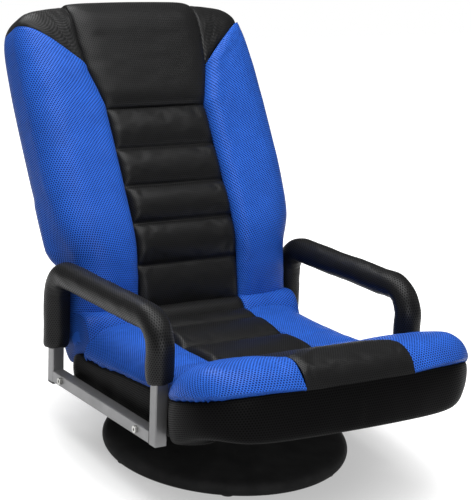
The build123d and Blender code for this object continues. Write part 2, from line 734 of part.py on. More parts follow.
def back_slab(front, rear, low, high):
    """Side outline of one layer of the back, drawn in the current sketch."""
    FilletPolyline(
        low_point(low, front), knee_point(front), high_point(high, front),
        radius=KNEE_R - front,
    )
    Line(high_point(high, front), high_point(high, rear))
    FilletPolyline(
        high_point(high, rear), knee_point(rear), low_point(low, rear),
        radius=KNEE_R - rear,
    )
    Line(low_point(low, rear), low_point(low, front))


SHOULDER_STEPS = ((0.0, 66.0), (19.0, 34.0), (49.0, 16.0))
SHOULDER_POINTS = [(SHOULDER_HALF_W - inset, BACK_HIGH_LEN - drop) for inset, drop in SHOULDER_STEPS]
CROWN_X = 150.0
CROWN_DROP = 3.0
BACK_OUTLINE = (
    (0, -260), (BACK_HALF_W, -260), (BACK_HALF_W, 10), (SHOULDER_HALF_W, 80),
    *SHOULDER_POINTS, (CROWN_X, BACK_HIGH_LEN - CROWN_DROP), (0, BACK_HIGH_LEN),
)
OUTLINE_RADII = (80, 80, 50, 40, 50, 80)


def round_shoulders(sketch):
    """Rounds the back's front view."""
    for (x, t), radius in zip(BACK_OUTLINE[2:], OUTLINE_RADII):
        fillet([v for v in sketch.vertices() if abs(v.Y - t) < 0.5], radius)


BOLSTER_FOOT = 62.0
PAD_FOOT = 30.0
BACK_SEAM_S = 121.7
BACK_SEAMS_T = (31.0, 110.8, 194.5, 287.0)
PILLOW_LOW = 288.0
PILLOW_TOP_W = 152.0
YOKE_INNER = (140.0, 377.0)
YOKE_OUTER = (SHOULDER_HALF_W + 2, 490.0)

with BuildPart() as back_pad:
    seams = [low_point(PAD_FOOT, 0), low_point(BACK_SEAM_S, 0)]
    seams += [high_point(t, 0) for t in BACK_SEAMS_T]
    with BuildSketch(side_plane(-STRIP_HALF_W + PAD_GAP / 2)):
        with BuildLine():
            crowned(seams, CHANNEL_CROWN)
            Line(seams[-1], high_point(BACK_SEAMS_T[-1], BACK_FRONT_LAYER))
            FilletPolyline(
                high_point(BACK_SEAMS_T[-1], BACK_FRONT_LAYER),
                knee_point(BACK_FRONT_LAYER),
                low_point(PAD_FOOT, BACK_FRONT_LAYER),
                radius=KNEE_R - BACK_FRONT_LAYER,
            )
            Line(low_point(PAD_FOOT, BACK_FRONT_LAYER), seams[0])
        make_face()
    extrude(amount=2 * STRIP_HALF_W - PAD_GAP)
write_tilted(back_pad, "back_pad")

# Each station of a back bolster: distance up its straight, half width, crown rise
LOW_STATIONS = ((62, 247, 14), (90, 249, 22), (128, BACK_HALF_W, BOLSTER_RISE))
HIGH_STATIONS = (
    (38, 262, BOLSTER_RISE), (80, SHOULDER_HALF_W, BOLSTER_RISE),
    (130, SHOULDER_HALF_W, BOLSTER_RISE), (330, SHOULDER_HALF_W, BOLSTER_RISE),
    (420, SHOULDER_HALF_W, 20), (510, SHOULDER_HALF_W, 12),
)
BOLSTER_REAR = BACK_FRONT_LAYER - 3.0


def station_plane(point, up):
    """Plane across the back at this point, with axes X and depth behind the front."""
    return Plane(origin=(0, *point), x_dir=(1, 0, 0), z_dir=(0, *up))


mid_lean = math.radians((BACK_LOW_LEAN + BACK_HIGH_LEAN) / 2)
half_bend = math.radians((BACK_HIGH_LEAN - BACK_LOW_LEAN) / 2)
bend_cut = KNEE_R * (1 / math.cos(half_bend) - 1)
BEND_POINT = (
    KNEE[0] + bend_cut * math.cos(mid_lean), KNEE[1] - bend_cut * math.sin(mid_lean)
)
BOLSTER_STATIONS = [
    (station_plane(low_point(s, 0), LOW_UP), half_w, rise) for s, half_w, rise in LOW_STATIONS
] + [
    (station_plane(BEND_POINT, (math.sin(mid_lean), math.cos(mid_lean))), BACK_HALF_W, BOLSTER_RISE)
] + [
    (station_plane(high_point(t, 0), HIGH_UP), half_w, rise)
    for t, half_w, rise in HIGH_STATIONS
]

for side, sign in SIDES:
    edge = STRIP_HALF_W + PAD_GAP / 2
    with BuildPart() as bolster:
        for plane, half_w, rise in BOLSTER_STATIONS:
            with BuildSketch(plane):
                with BuildLine():
                    Line((sign * edge, BOLSTER_REAR), (sign * edge, 4))
                    ThreePointArc(
                        (sign * edge, 4),
                        (sign * (edge + 14), 4 - 0.72 * (rise + 4)),
                        (sign * (edge + 48), -rise),
                    )
                    ThreePointArc(
                        (sign * (edge + 48), -rise),
                        (sign * (half_w - 24), -rise + 5),
                        (sign * half_w, 16),
                    )
                    Line((sign * half_w, 16), (sign * half_w, BOLSTER_REAR))
                    Line((sign * half_w, BOLSTER_REAR), (sign * edge, BOLSTER_REAR))
                make_face()
        loft(ruled=True)
        with BuildSketch(BACK_PLANE.offset(-150)):
            with BuildLine():
                Polyline(
                    (sign * 60, -300),
                    (sign * 330, -300),
                    (sign * 330, YOKE_OUTER[1] + 40),
                    (sign * YOKE_OUTER[0], YOKE_OUTER[1] - 1),
                    (sign * YOKE_INNER[0], YOKE_INNER[1] - 1),
                    (sign * (STRIP_HALF_W + 1), PILLOW_LOW - 1),
                    (sign * 60, PILLOW_LOW - 1),
                    close=True,
                )
            make_face()
        extrude(amount=300, mode=Mode.INTERSECT)
    write_tilted(bolster, f"back_bolster_{side}")

with BuildPart() as head_pillow:
    with BuildSketch(BACK_PLANE.offset(-BACK_FRONT_LAYER)) as pillow_face:
        with BuildLine():
            Polyline(
                (-STRIP_HALF_W + 2, PILLOW_LOW), (STRIP_HALF_W - 2, PILLOW_LOW),
                (PILLOW_TOP_W, BACK_HIGH_LEN + 8), (-PILLOW_TOP_W, BACK_HIGH_LEN + 8),
                close=True,
            )
        make_face()
        fillet([v for v in pillow_face.vertices() if v.Y > 500], 30)
    extrude(amount=BACK_FRONT_LAYER + 14)
    facing = Axis(origin=(0, 0, 0), direction=(0, -HIGH_UP[1], HIGH_UP[0]))
    fillet(head_pillow.faces().sort_by(facing)[-1].edges(), 18)
write_tilted(head_pillow, "head_pillow")

with BuildPart() as back_yoke:
    with BuildSketch(BACK_PLANE.offset(-BACK_FRONT_LAYER)) as yoke_face:
        with BuildLine():
            Polyline(*BACK_OUTLINE)
            mirror(about=Plane.YZ)
        make_face()
        round_shoulders(yoke_face)
        for sign in (-1, 1):
            with BuildLine():
                Polyline(
                    (0, -300), (sign * 400, -300), (sign * 400, YOKE_OUTER[1]),
                    (sign * YOKE_OUTER[0], YOKE_OUTER[1]),
                    (sign * (YOKE_INNER[0] - 30), YOKE_INNER[1] - 18), (0, 300),
                    close=True,
                )
            make_face(mode=Mode.SUBTRACT)
        with BuildLine():
            Polyline(
                (-STRIP_HALF_W + 1, PILLOW_LOW - 10), (STRIP_HALF_W - 1, PILLOW_LOW - 10),
                (PILLOW_TOP_W + 1.5, BACK_HIGH_LEN + 12), (-PILLOW_TOP_W - 1.5, BACK_HIGH_LEN + 12),
                close=True,
            )
        make_face(mode=Mode.SUBTRACT)
    extrude(amount=BACK_FRONT_LAYER + 4)
write_tilted(back_yoke, "back_yoke")

# Rear half of the back: full outline, hollowed for the steel frame
CAVITY_REAR = 80.0

with BuildPart() as back_rear_pad:
    with BuildSketch(side_plane(-300)):
        with BuildLine():
            back_slab(BACK_FRONT_LAYER + 0.3, BACK_THICK, PAD_FOOT, BACK_HIGH_LEN)
        make_face()
    extrude(amount=600)
    with BuildSketch(BACK_PLANE.offset(-200)) as rear_outline:
        with BuildLine():
            Polyline(*BACK_OUTLINE)
            mirror(about=Plane.YZ)
        make_face()
        round_shoulders(rear_outline)
    extrude(amount=300, mode=Mode.INTERSECT)
    behind = [f for f in back_rear_pad.faces() if f.normal_at().Y > 0.7]
    rims = [e for f in behind for e in f.edges()]
    rims = [e for e in rims if sum(e.is_same(other) for other in rims) == 1]
    fillet(rims, 14)
    with BuildSketch(side_plane(-BACK_CAVITY_W)):
        with BuildLine():
            back_slab(BACK_FRONT_LAYER, CAVITY_REAR, PAD_FOOT - 6, SHOULDER_POINTS[0][1])
        make_face()
    extrude(amount=2 * BACK_CAVITY_W, mode=Mode.SUBTRACT)
write_tilted(back_rear_pad, "back_rear_pad")

# Steel back frame: bent tube, cross bars and webbing
TUBE_FOOT = 60.0
TUBE_TOP_DROP = 86.0
TUBE_TOP = BACK_HIGH_LEN - TUBE_TOP_DROP
foot = low_point(TUBE_FOOT, BACK_TUBE_DEPTH)
knee = knee_point(BACK_TUBE_DEPTH)
head = high_point(TUBE_TOP, BACK_TUBE_DEPTH)

with BuildPart() as back_frame:
    with BuildLine():
        FilletPolyline(
            (-BACK_TUBE_X, *foot), (-BACK_TUBE_X, *knee), (-BACK_TUBE_X, *head),
            (BACK_TUBE_X, *head), (BACK_TUBE_X, *knee), (BACK_TUBE_X, *foot),
            radius=70,
        )
    start = Plane(
        origin=(-BACK_TUBE_X, *foot), x_dir=(1, 0, 0), z_dir=(0, LOW_UP[0], LOW_UP[1])
    )
    with BuildSketch(start):
        Circle(BACK_TUBE / 2)
        Circle(BACK_TUBE / 2 - RAIL_WALL, mode=Mode.SUBTRACT)
    sweep()
write_tilted(back_frame, "back_frame")

bar_end = BACK_TUBE_X - BACK_TUBE / 2 - WELD_GAP
with BuildPart() as back_cross_bars:
    for y, z in (low_point(90, BACK_TUBE_DEPTH), high_point(170, BACK_TUBE_DEPTH)):
        with BuildSketch(side_plane(-bar_end)):
            with Locations((y, z)):
                Circle(8)
                Circle(6.5, mode=Mode.SUBTRACT)
        extrude(amount=2 * bar_end)
write_tilted(back_cross_bars, "back_cross_bars")

strap_front = BACK_TUBE_DEPTH - BACK_TUBE / 2 - STRAP_T
with BuildPart() as back_webbing:
    for t in (70, 140, 210, 280, 350):
        with BuildSketch(BACK_PLANE.offset(-strap_front)):
            with Locations((0, t)):
                Rectangle(2 * BACK_TUBE_X + 8, 40)
        extrude(amount=-STRAP_T + 0.1)
write_tilted(back_webbing, "back_webbing")

# Ratchet hinges
seat_leaf_x = RAIL_X + RAIL / 2
back_leaf_x = seat_leaf_x + LEAF_T + LEAF_GAP
PAWL_Q = (PIVOT_Y - 28, PIVOT_Z - 34)
NOSE = (PIVOT_Y, PIVOT_Z - RATCHET_R + 0.5)
elbow = low_point(35, BACK_TUBE_DEPTH)
arm_end = low_point(150, BACK_TUBE_DEPTH)
TEETH = int(360 / TOOTH_PITCH)


def notch(angle, clear):
    """One V notch of the ratchet, at this angle about the pivot."""
    half = math.radians(TOOTH_PITCH) * 0.36
    root = RATCHET_R - TOOTH_DEPTH - clear
    out = RATCHET_R + 3
    Polyline(
        (PIVOT_Y + root * math.cos(angle), PIVOT_Z + root * math.sin(angle)),
        (PIVOT_Y + out * math.cos(angle - half), PIVOT_Z + out * math.sin(angle - half)),
        (PIVOT_Y + out * math.cos(angle + half), PIVOT_Z + out * math.sin(angle + half)),
        close=True,
    )


def strip(a, b, width):
    """A flat strip of metal from a to b with this width, in the side view."""
    length = math.hypot(b[0] - a[0], b[1] - a[1])
    ny, nz = (a[1] - b[1]) / length * width / 2, (b[0] - a[0]) / length * width / 2
    Polyline(
        (a[0] + ny, a[1] + nz), (b[0] + ny, b[1] + nz),
        (b[0] - ny, b[1] - nz), (a[0] - ny, a[1] - nz), close=True,
    )


for side, sign in SIDES:
    with BuildPart() as seat_leaf:
        with BuildSketch(side_plane(sign * seat_leaf_x)):
            with BuildLine():
                Polyline(
                    (128, rail_low), (RAIL_REAR_Y, rail_low), (RAIL_REAR_Y, rail_top + 6),
                    (PIVOT_Y + 20, PIVOT_Z), (PIVOT_Y - 18, PIVOT_Z), (PAWL_Q[0] - 12, PAWL_Q[1]),
                    (128, rail_top + 6), close=True,
                )
            make_face()
            with Locations((PIVOT_Y, PIVOT_Z)):
                Circle(20)
            with Locations((PIVOT_Y, PIVOT_Z)):
                Circle(HINGE_PIN_D / 2 + PIN_CLEAR, mode=Mode.SUBTRACT)
            with Locations(PAWL_Q):
                Circle(PAWL_PIN_D / 2 + PIN_CLEAR, mode=Mode.SUBTRACT)
            with Locations((ARM_BOLT_Y[1], RAIL_Z)):
                Circle(ARM_BOLT_D / 2 + BOLT_CLEAR, mode=Mode.SUBTRACT)
        extrude(amount=sign * LEAF_T)
    write_tilted(seat_leaf, f"hinge_seat_leaf_{side}")

    with BuildPart() as back_leaf:
        with BuildSketch(side_plane(sign * back_leaf_x)):
            with Locations((PIVOT_Y, PIVOT_Z)):
                Circle(RATCHET_R)
            for i in range(TEETH):
                with BuildLine():
                    notch(math.radians(-90 + i * TOOTH_PITCH), 0)
                make_face(mode=Mode.SUBTRACT)
            with BuildLine():
                strip((PIVOT_Y + 6, PIVOT_Z + 2), elbow, 24)
            make_face()
            with BuildLine():
                strip(elbow, arm_end, 20)
            make_face()
            with Locations(elbow):
                Circle(12)
            with Locations((PIVOT_Y, PIVOT_Z)):
                Circle(HINGE_PIN_D / 2 + PIN_CLEAR, mode=Mode.SUBTRACT)
        extrude(amount=sign * LEAF_T)
    write_tilted(back_leaf, f"hinge_back_leaf_{side}")

    with BuildPart() as hinge_pin:
        with BuildSketch(side_plane(sign * (seat_leaf_x - 3))):
            with Locations((PIVOT_Y, PIVOT_Z)):
                Circle(9)
        extrude(amount=sign * 3)
        with BuildSketch(side_plane(sign * seat_leaf_x)):
            with Locations((PIVOT_Y, PIVOT_Z)):
                Circle(HINGE_PIN_D / 2)
        extrude(amount=sign * (2 * LEAF_T + LEAF_GAP + 0.5))
        with BuildSketch(side_plane(sign * (back_leaf_x + LEAF_T + 0.5))):
            with Locations((PIVOT_Y, PIVOT_Z)):
                Circle(9)
        extrude(amount=sign * 3)
    write_tilted(hinge_pin, f"hinge_pin_{side}")

    with BuildPart() as pawl:
        with BuildSketch(side_plane(sign * back_leaf_x)):
            with Locations(PAWL_Q):
                Circle(8)
            nose_low = RATCHET_R + 9
            with BuildLine():
                Polyline(
                    (PAWL_Q[0] - 2, PAWL_Q[1] + 6),
                    (PIVOT_Y - 5, PIVOT_Z - RATCHET_R - 2.0),
                    (PIVOT_Y - 1.4, PIVOT_Z - RATCHET_R - 0.4),
                    (PIVOT_Y, PIVOT_Z - RATCHET_R + TOOTH_DEPTH - 1.2),
                    (PIVOT_Y + 1.4, PIVOT_Z - RATCHET_R - 0.4),
                    (PIVOT_Y + 4, PIVOT_Z - RATCHET_R - 2.0),
                    (PIVOT_Y + 4, PIVOT_Z - nose_low),
                    (PAWL_Q[0] + 3, PAWL_Q[1] - 7),
                    close=True,
                )
            make_face()
            with Locations(PAWL_Q):
                Circle(PAWL_PIN_D / 2 + PIN_CLEAR, mode=Mode.SUBTRACT)
        extrude(amount=sign * LEAF_T)
    write_tilted(pawl, f"hinge_pawl_{side}")

    with BuildPart() as pawl_pin:
        with BuildSketch(side_plane(sign * (seat_leaf_x - 2))):
            with Locations(PAWL_Q):
                Circle(5.5)
        extrude(amount=sign * 2)
        with BuildSketch(side_plane(sign * seat_leaf_x)):
            with Locations(PAWL_Q):
                Circle(PAWL_PIN_D / 2)
        extrude(amount=sign * (2 * LEAF_T + LEAF_GAP + 0.5))
        with BuildSketch(side_plane(sign * (back_leaf_x + LEAF_T + 0.5))):
            with Locations(PAWL_Q):
                Circle(5.5)
        extrude(amount=sign * 2)
    write_tilted(pawl_pin, f"hinge_pawl_pin_{side}")

# Soft gusset in the crease: it folds and stretches as the back reclines.
GUSSET_REAR = (
    low_point(PAD_FOOT - 1, BACK_THICK - 2), (263, 190), (237, 156), (210, 147.5), (168, 204.5),
)
GUSSET_CENTRE = ((151, 226.5), low_point(PAD_FOOT - 1, 1)) + GUSSET_REAR + ((161, 204.5),)
GUSSET_SIDE = (
    (121, 208), (141, 222), (155, 250), low_point(BOLSTER_FOOT - 1, -12),
    low_point(BOLSTER_FOOT - 1, BACK_FRONT_LAYER - 1), low_point(PAD_FOOT - 1, BACK_FRONT_LAYER - 1),
) + GUSSET_REAR + ((121, 204.5),)

with BuildPart() as crease_gusset:
    with BuildSketch(side_plane(-STRIP_HALF_W + PAD_GAP / 2)):
        with BuildLine():
            Polyline(*GUSSET_CENTRE, close=True)
        make_face()
    extrude(amount=2 * STRIP_HALF_W - PAD_GAP)
    for sign in (-1, 1):
        with BuildSketch(side_plane(sign * (STRIP_HALF_W + PAD_GAP / 2))):
            with BuildLine():
                Polyline(*GUSSET_SIDE, close=True)
            make_face()
        extrude(amount=sign * (seat_leaf_x - 4 - STRIP_HALF_W))
write_tilted(crease_gusset, "crease_gusset")
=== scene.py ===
import bmesh
import bpy
import math
import numpy as np
from mathutils import Matrix, Vector


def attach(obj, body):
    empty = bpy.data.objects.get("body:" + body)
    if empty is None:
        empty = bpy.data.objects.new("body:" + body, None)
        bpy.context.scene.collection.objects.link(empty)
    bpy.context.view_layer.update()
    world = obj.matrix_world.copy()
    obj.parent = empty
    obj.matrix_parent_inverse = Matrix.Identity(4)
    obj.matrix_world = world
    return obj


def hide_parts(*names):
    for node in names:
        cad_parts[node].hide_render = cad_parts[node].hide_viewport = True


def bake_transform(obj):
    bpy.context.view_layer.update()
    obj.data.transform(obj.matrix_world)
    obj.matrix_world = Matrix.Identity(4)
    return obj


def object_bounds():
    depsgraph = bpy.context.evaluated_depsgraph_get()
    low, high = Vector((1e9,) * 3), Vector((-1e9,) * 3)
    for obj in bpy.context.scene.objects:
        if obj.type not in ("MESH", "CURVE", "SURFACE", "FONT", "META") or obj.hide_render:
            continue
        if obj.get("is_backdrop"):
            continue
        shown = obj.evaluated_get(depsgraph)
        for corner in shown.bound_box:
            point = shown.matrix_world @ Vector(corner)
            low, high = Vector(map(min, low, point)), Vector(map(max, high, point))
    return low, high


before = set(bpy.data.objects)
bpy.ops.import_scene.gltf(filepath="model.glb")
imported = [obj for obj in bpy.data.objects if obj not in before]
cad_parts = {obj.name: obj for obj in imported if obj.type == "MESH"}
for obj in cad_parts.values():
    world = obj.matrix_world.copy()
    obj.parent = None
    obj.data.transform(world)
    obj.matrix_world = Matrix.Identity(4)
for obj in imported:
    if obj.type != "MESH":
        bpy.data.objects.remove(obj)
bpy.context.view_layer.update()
scene = bpy.context.scene
scene.view_settings.view_transform = "Standard"

# Steel that stays out of sight: the seat and back frames, the base ring and its cross,
# the hub plate and the column are black powder-coated tube and sheet, a little orange-peeled.


def new_material(name, colour, roughness, specular=0.5):
    """A material with its Principled shader, ready for nodes that vary it."""
    material = bpy.data.materials.new(name)
    material.use_nodes = True
    shader = material.node_tree.nodes["Principled BSDF"]
    shader.inputs["Base Color"].default_value = (*colour, 1)
    shader.inputs["Roughness"].default_value = roughness
    shader.inputs["Specular IOR Level"].default_value = specular
    return material, material.node_tree, shader


def group_tree(name, inputs, outputs):
    """An empty shader node group with its sockets: (name, kind, value) each."""
    tree = bpy.data.node_groups.new(name, "ShaderNodeTree")
    for label, kind, value in inputs:
        socket = tree.interface.new_socket(label, in_out="INPUT", socket_type="NodeSocket" + kind)
        if value is not None:
            socket.default_value = value
    for label, kind in outputs:
        tree.interface.new_socket(label, in_out="OUTPUT", socket_type="NodeSocket" + kind)
    return tree, tree.nodes.new("NodeGroupInput"), tree.nodes.new("NodeGroupOutput")


def math_node(tree, operation, a, b=None):
    """One Math node; a and b are numbers or sockets."""
    node = tree.nodes.new("ShaderNodeMath")
    node.operation = operation
    for socket, value in zip(node.inputs, (a, b)):
        if value is None:
            continue
        if isinstance(value, (int, float)):
            socket.default_value = value
        else:
            tree.links.new(value, socket)
    return node.outputs[0]


def noise_node(tree, scale, detail, vector=None):
    """Noise in the object's own metres."""
    node = tree.nodes.new("ShaderNodeTexNoise")
    node.inputs["Scale"].default_value = scale
    node.inputs["Detail"].default_value = detail
    if vector is None:
        vector = tree.nodes.new("ShaderNodeTexCoord").outputs["Object"]
    tree.links.new(vector, node.inputs["Vector"])
    return node.outputs["Fac"]


def ramp_node(tree, value, low, high, to_low, to_high):
    """Maps value from low..high to to_low..to_high, clamped."""
    node = tree.nodes.new("ShaderNodeMapRange")
    for label, number in (
        ("From Min", low), ("From Max", high), ("To Min", to_low), ("To Max", to_high)
    ):
        node.inputs[label].default_value = number
    tree.links.new(value, node.inputs["Value"])
    return node.outputs["Result"]


def mix_colour(tree, share, one, two):
    """Colour one to two by share; each is a colour tuple or a socket."""
    node = tree.nodes.new("ShaderNodeMix")
    node.data_type = "RGBA"
    tree.links.new(share, node.inputs["Factor"])
    for socket, value in ((node.inputs[6], one), (node.inputs[7], two)):
        if isinstance(value, tuple):
            socket.default_value = (*value, 1)
        else:
            tree.links.new(value, socket)
    return node.outputs[2]


def bump(tree, shader, height, strength, distance):
    """Feeds a height to the shader's Normal."""
    node = tree.nodes.new("ShaderNodeBump")
    node.inputs["Strength"].default_value = strength
    node.inputs["Distance"].default_value = distance
    tree.links.new(height, node.inputs["Height"])
    tree.links.new(node.outputs["Normal"], shader.inputs["Normal"])


paint_skin, skin_in, skin_out = group_tree(
    "paint skin", [("Grain", "Float", 900.0)], [("Shade", "Float"), ("Height", "Float")]
)
where = paint_skin.nodes.new("ShaderNodeTexCoord").outputs["Object"]
cloud = noise_node(paint_skin, 14, 4, where)
fine = paint_skin.nodes.new("ShaderNodeTexNoise")
fine.inputs["Detail"].default_value = 2
paint_skin.links.new(where, fine.inputs["Vector"])
paint_skin.links.new(skin_in.outputs["Grain"], fine.inputs["Scale"])
paint_skin.links.new(cloud, skin_out.inputs["Shade"])
paint_skin.links.new(fine.outputs["Fac"], skin_out.inputs["Height"])


def painted(name, colour, clouded, roughness, grain, metallic=0.0, coat=0.0):
    """Painted or plated metal: slight clouding and an orange-peel bump."""
    material, tree, shader = new_material(name, colour, roughness)
    shader.inputs["Metallic"].default_value = metallic
    shader.inputs["Coat Weight"].default_value = coat
    skin = tree.nodes.new("ShaderNodeGroup")
    skin.node_tree = paint_skin
    skin.inputs["Grain"].default_value = grain
    shade = ramp_node(tree, skin.outputs["Shade"], 0.3, 0.7, 0, 1)
    tree.links.new(mix_colour(tree, shade, clouded, colour), shader.inputs["Base Color"])
    rough = ramp_node(tree, skin.outputs["Shade"], 0.3, 0.7, roughness + 0.08, roughness - 0.05)
    tree.links.new(rough, shader.inputs["Roughness"])
    bump(tree, shader, skin.outputs["Height"], 0.15, 0.0004)
    return material


def finish_nodes(material, names):
    """Gives CAD nodes their finished material."""
    for name in names:
        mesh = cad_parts[name].data
        mesh.materials.clear()
        mesh.materials.append(material)


SIDES = ("left", "right")
frame_black = painted("powder coat black", (0.016, 0.016, 0.017), (0.010, 0.010, 0.011), 0.42, 700)
finish_nodes(
    frame_black,
    ["base_ring", "base_cross", "base_hub_plate", "swivel_column", "seat_front_rail",
     "seat_front_bow", "seat_cross_rail_front", "seat_cross_rail_rear", "seat_rear_rail", "back_frame",
     "back_cross_bars"] + [f"seat_side_rail_{side}" for side in SIDES],
)

# Swivel bearing, screws and ratchet hinges: stamped and turned steel, zinc plated, with the
# faint yellow-grey mottling that plating has.
zinc = painted("zinc plate", (0.50, 0.50, 0.48), (0.36, 0.36, 0.34), 0.34, 1500, metallic=1.0)
finish_nodes(
    zinc,
    ["swivel_lower_plate", "swivel_upper_plate", "king_pin", "hub_screws", "flange_screws",
     "column_bolts", "swivel_balls"]
    + [f"{piece}_{side}" for side in SIDES
       for piece in ("arm_bolts", "arm_spacers", "hinge_seat_leaf", "hinge_back_leaf",
                     "hinge_pin", "hinge_pawl", "hinge_pawl_pin")],
)

# Ball cage and the plugs in the arms' rear legs: moulded black plastic with a fine spark
# grain. The feet under the base are black rubber, duller and softer.
plastic = painted("moulded black plastic", (0.014, 0.014, 0.015), (0.009, 0.009, 0.010), 0.5, 1800)
finish_nodes(plastic, ["ball_cage", "arm_plug_left", "arm_plug_right"])
rubber = painted("black rubber", (0.012, 0.012, 0.012), (0.020, 0.020, 0.019), 0.8, 500)
finish_nodes(rubber, ["base_feet"])

# Base cover: black cloth pulled over the base ring and drawn up by elastic round the column.
# It lies smooth over the ring, and creases fan out from the hem.
weave, weave_in, weave_out = group_tree(
    "plain weave", [("Threads", "Float", 900.0)], [("Shade", "Float"), ("Height", "Float")]
)
where = weave.nodes.new("ShaderNodeTexCoord").outputs["UV"]
split = weave.nodes.new("ShaderNodeSeparateXYZ")
weave.links.new(where, split.inputs[0])
across = math_node(weave, "SINE", math_node(
    weave, "MULTIPLY", split.outputs["X"], weave_in.outputs["Threads"]))
along = math_node(weave, "SINE", math_node(
    weave, "MULTIPLY", split.outputs["Y"], weave_in.outputs["Threads"]))
cross = math_node(weave, "MULTIPLY", across, along)
weave.links.new(cross, weave_out.inputs["Height"])
weave.links.new(noise_node(weave, 22, 5), weave_out.inputs["Shade"])


def woven(name, colour, lighter, roughness, threads):
    """Plain woven cloth: thread bump, slightly lighter patches at random, sheen."""
    material, tree, shader = new_material(name, colour, roughness, 0.05)
    shader.inputs["Sheen Weight"].default_value = 0.02
    shader.inputs["Sheen Roughness"].default_value = 0.45
    cloth = tree.nodes.new("ShaderNodeGroup")
    cloth.node_tree = weave
    cloth.inputs["Threads"].default_value = threads
    shade = ramp_node(tree, cloth.outputs["Shade"], 0.35, 0.75, 0, 1)
    tree.links.new(mix_colour(tree, shade, colour, lighter), shader.inputs["Base Color"])
    bump(tree, shader, cloth.outputs["Height"], 0.3, 0.0005)
    return material


# The base cover's black cloth is made about four times lighter than the rear panel's: painted light, for the
# base sits in the seat's shadow.
lit_base_cloth = woven("base cover cloth", (0.026, 0.026, 0.0265), (0.040, 0.040, 0.0405), 0.6, 2600.0)


def rim(grid):
    """What lies round a grid's edge, in order."""
    return np.concatenate([grid[0], grid[1:, -1], grid[-1, -2::-1], grid[-2:0:-1, 0]])


def grid_mesh(name, grid, closed=False, fill=False, skirt=()):
    """A quad mesh from a grid of points (rows, columns, 3) in metres, with UVs in metres.
    closed joins the last column to the first; skirt adds rings below the grid's edge;
    fill caps the open edge."""
    grid = np.asarray(grid, float)
    rows, cols = grid.shape[:2]
    mesh = bpy.data.meshes.new(name)
    span = cols if closed else cols - 1
    faces = [
        (i * cols + j, i * cols + (j + 1) % cols, (i + 1) * cols + (j + 1) % cols, (i + 1) * cols + j)
        for i in range(rows - 1) for j in range(span)
    ]
    points = grid.reshape(-1, 3)
    upper = rim(np.arange(rows * cols).reshape(rows, cols))
    for ring in skirt:
        lower = len(points) + np.arange(len(ring))
        points = np.concatenate([points, ring])
        for k in range(len(ring)):
            n = (k + 1) % len(ring)
            faces.append((int(upper[n]), int(upper[k]), int(lower[k]), int(lower[n])))
        upper = lower
    mesh.from_pydata(points.tolist(), [], faces)
    ring = np.concatenate([grid, grid[:, :1]], axis=1) if closed else grid
    across = np.linalg.norm(np.diff(ring, axis=1), axis=2).mean(axis=0)
    across = np.concatenate([[0], np.cumsum(across)])
    along = np.linalg.norm(np.diff(grid, axis=0), axis=2).mean(axis=1)
    along = np.concatenate([[0], np.cumsum(along)])
    uv = mesh.uv_layers.new(name="UVMap").data
    k = 0
    for i in range(rows - 1):
        for j in range(span):
            for di, dj in ((0, 0), (0, 1), (1, 1), (1, 0)):
                uv[k].uv = (across[j + dj], along[i + di])
                k += 1
    if fill:
        work = bmesh.new()
        work.from_mesh(mesh)
        edges = [e for e in work.edges if e.is_boundary]
        caps = bmesh.ops.holes_fill(work, edges=edges, sides=0)["faces"]
        bmesh.ops.triangulate(work, faces=caps, ngon_method="BEAUTY")
        bmesh.ops.recalc_face_normals(work, faces=work.faces)
        work.to_mesh(mesh)
        work.free()
    for polygon in mesh.polygons:
        polygon.use_smooth = True
    return mesh


def add_piece(name, mesh, material, body, replaced=()):
    """Puts a mesh in the scene as a piece of the chair, riding on its body if it has one."""
    piece = bpy.data.objects.new(name, mesh)
    scene.collection.objects.link(piece)
    mesh.materials.append(material)
    smooth = piece.modifiers.new("smooth", "SUBSURF")
    smooth.render_levels = 1
    smooth.levels = 1
    if body:
        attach(piece, body)
    if replaced:
        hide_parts(*replaced)
    return piece


def ripple(shape, seed, size):
    """Smooth seeded noise on a grid, about -1 to 1, with features of size cells."""
    rng = np.random.default_rng(seed)
    coarse = rng.standard_normal((shape[0] // size + 4, shape[1] // size + 4))
    rows = np.linspace(0, coarse.shape[0] - 1.001, shape[0])
    cols = np.linspace(0, coarse.shape[1] - 1.001, shape[1])
    i, j = rows.astype(int), cols.astype(int)
    a, b = (rows - i)[:, None], (cols - j)[None]
    a, b = a * a * (3 - 2 * a), b * b * (3 - 2 * b)
    top = coarse[i][:, j] * (1 - b) + coarse[i][:, j + 1] * b
    low = coarse[i + 1][:, j] * (1 - b) + coarse[i + 1][:, j + 1] * b
    return (top * (1 - a) + low * a) * 0.6


COVER_PROFILE = (
    (0.208, 0.0040), (0.222, 0.0020), (0.238, 0.0011), (0.2460, 0.0015), (0.2505, 0.0060),
    (0.2525, 0.0135), (0.2508, 0.0210), (0.2455, 0.0265), (0.236, 0.0288), (0.222, 0.0297),
    (0.200, 0.0312), (0.172, 0.0345), (0.145, 0.0395), (0.120, 0.0452), (0.100, 0.0525),
    (0.088, 0.0585), (0.080, 0.0640), (0.0765, 0.0660), (0.0755, 0.0645),
)
CREASES_FROM, CREASES_SPAN, CREASE_LIFT = 0.215, 0.12, 0.0022
HEM_R = 0.078
CLOTH_THICK = 0.0012
turns = np.linspace(0, 2 * math.pi, 145)[:-1]
cover = np.zeros((len(COVER_PROFILE), len(turns), 3))
creases = (
    np.sin(turns * 11 + 0.6) + 0.7 * np.sin(turns * 17 + 2.1) + 0.5 * np.sin(turns * 29 + 4.0)
)
for i, (r, z) in enumerate(COVER_PROFILE):
    near_hem = np.clip((CREASES_FROM - r) / CREASES_SPAN, 0, 1)
    lift = CREASE_LIFT * creases * near_hem * (1 - 0.6 * near_hem) * (r > HEM_R)
    cover[i, :, 0] = r * np.cos(turns)
    cover[i, :, 1] = r * np.sin(turns)
    cover[i, :, 2] = z + lift
base_cover = add_piece(
    "base_cover_cloth", grid_mesh("base_cover_cloth", cover, closed=True), lit_base_cloth,
    "base", ["base_cover"],
)
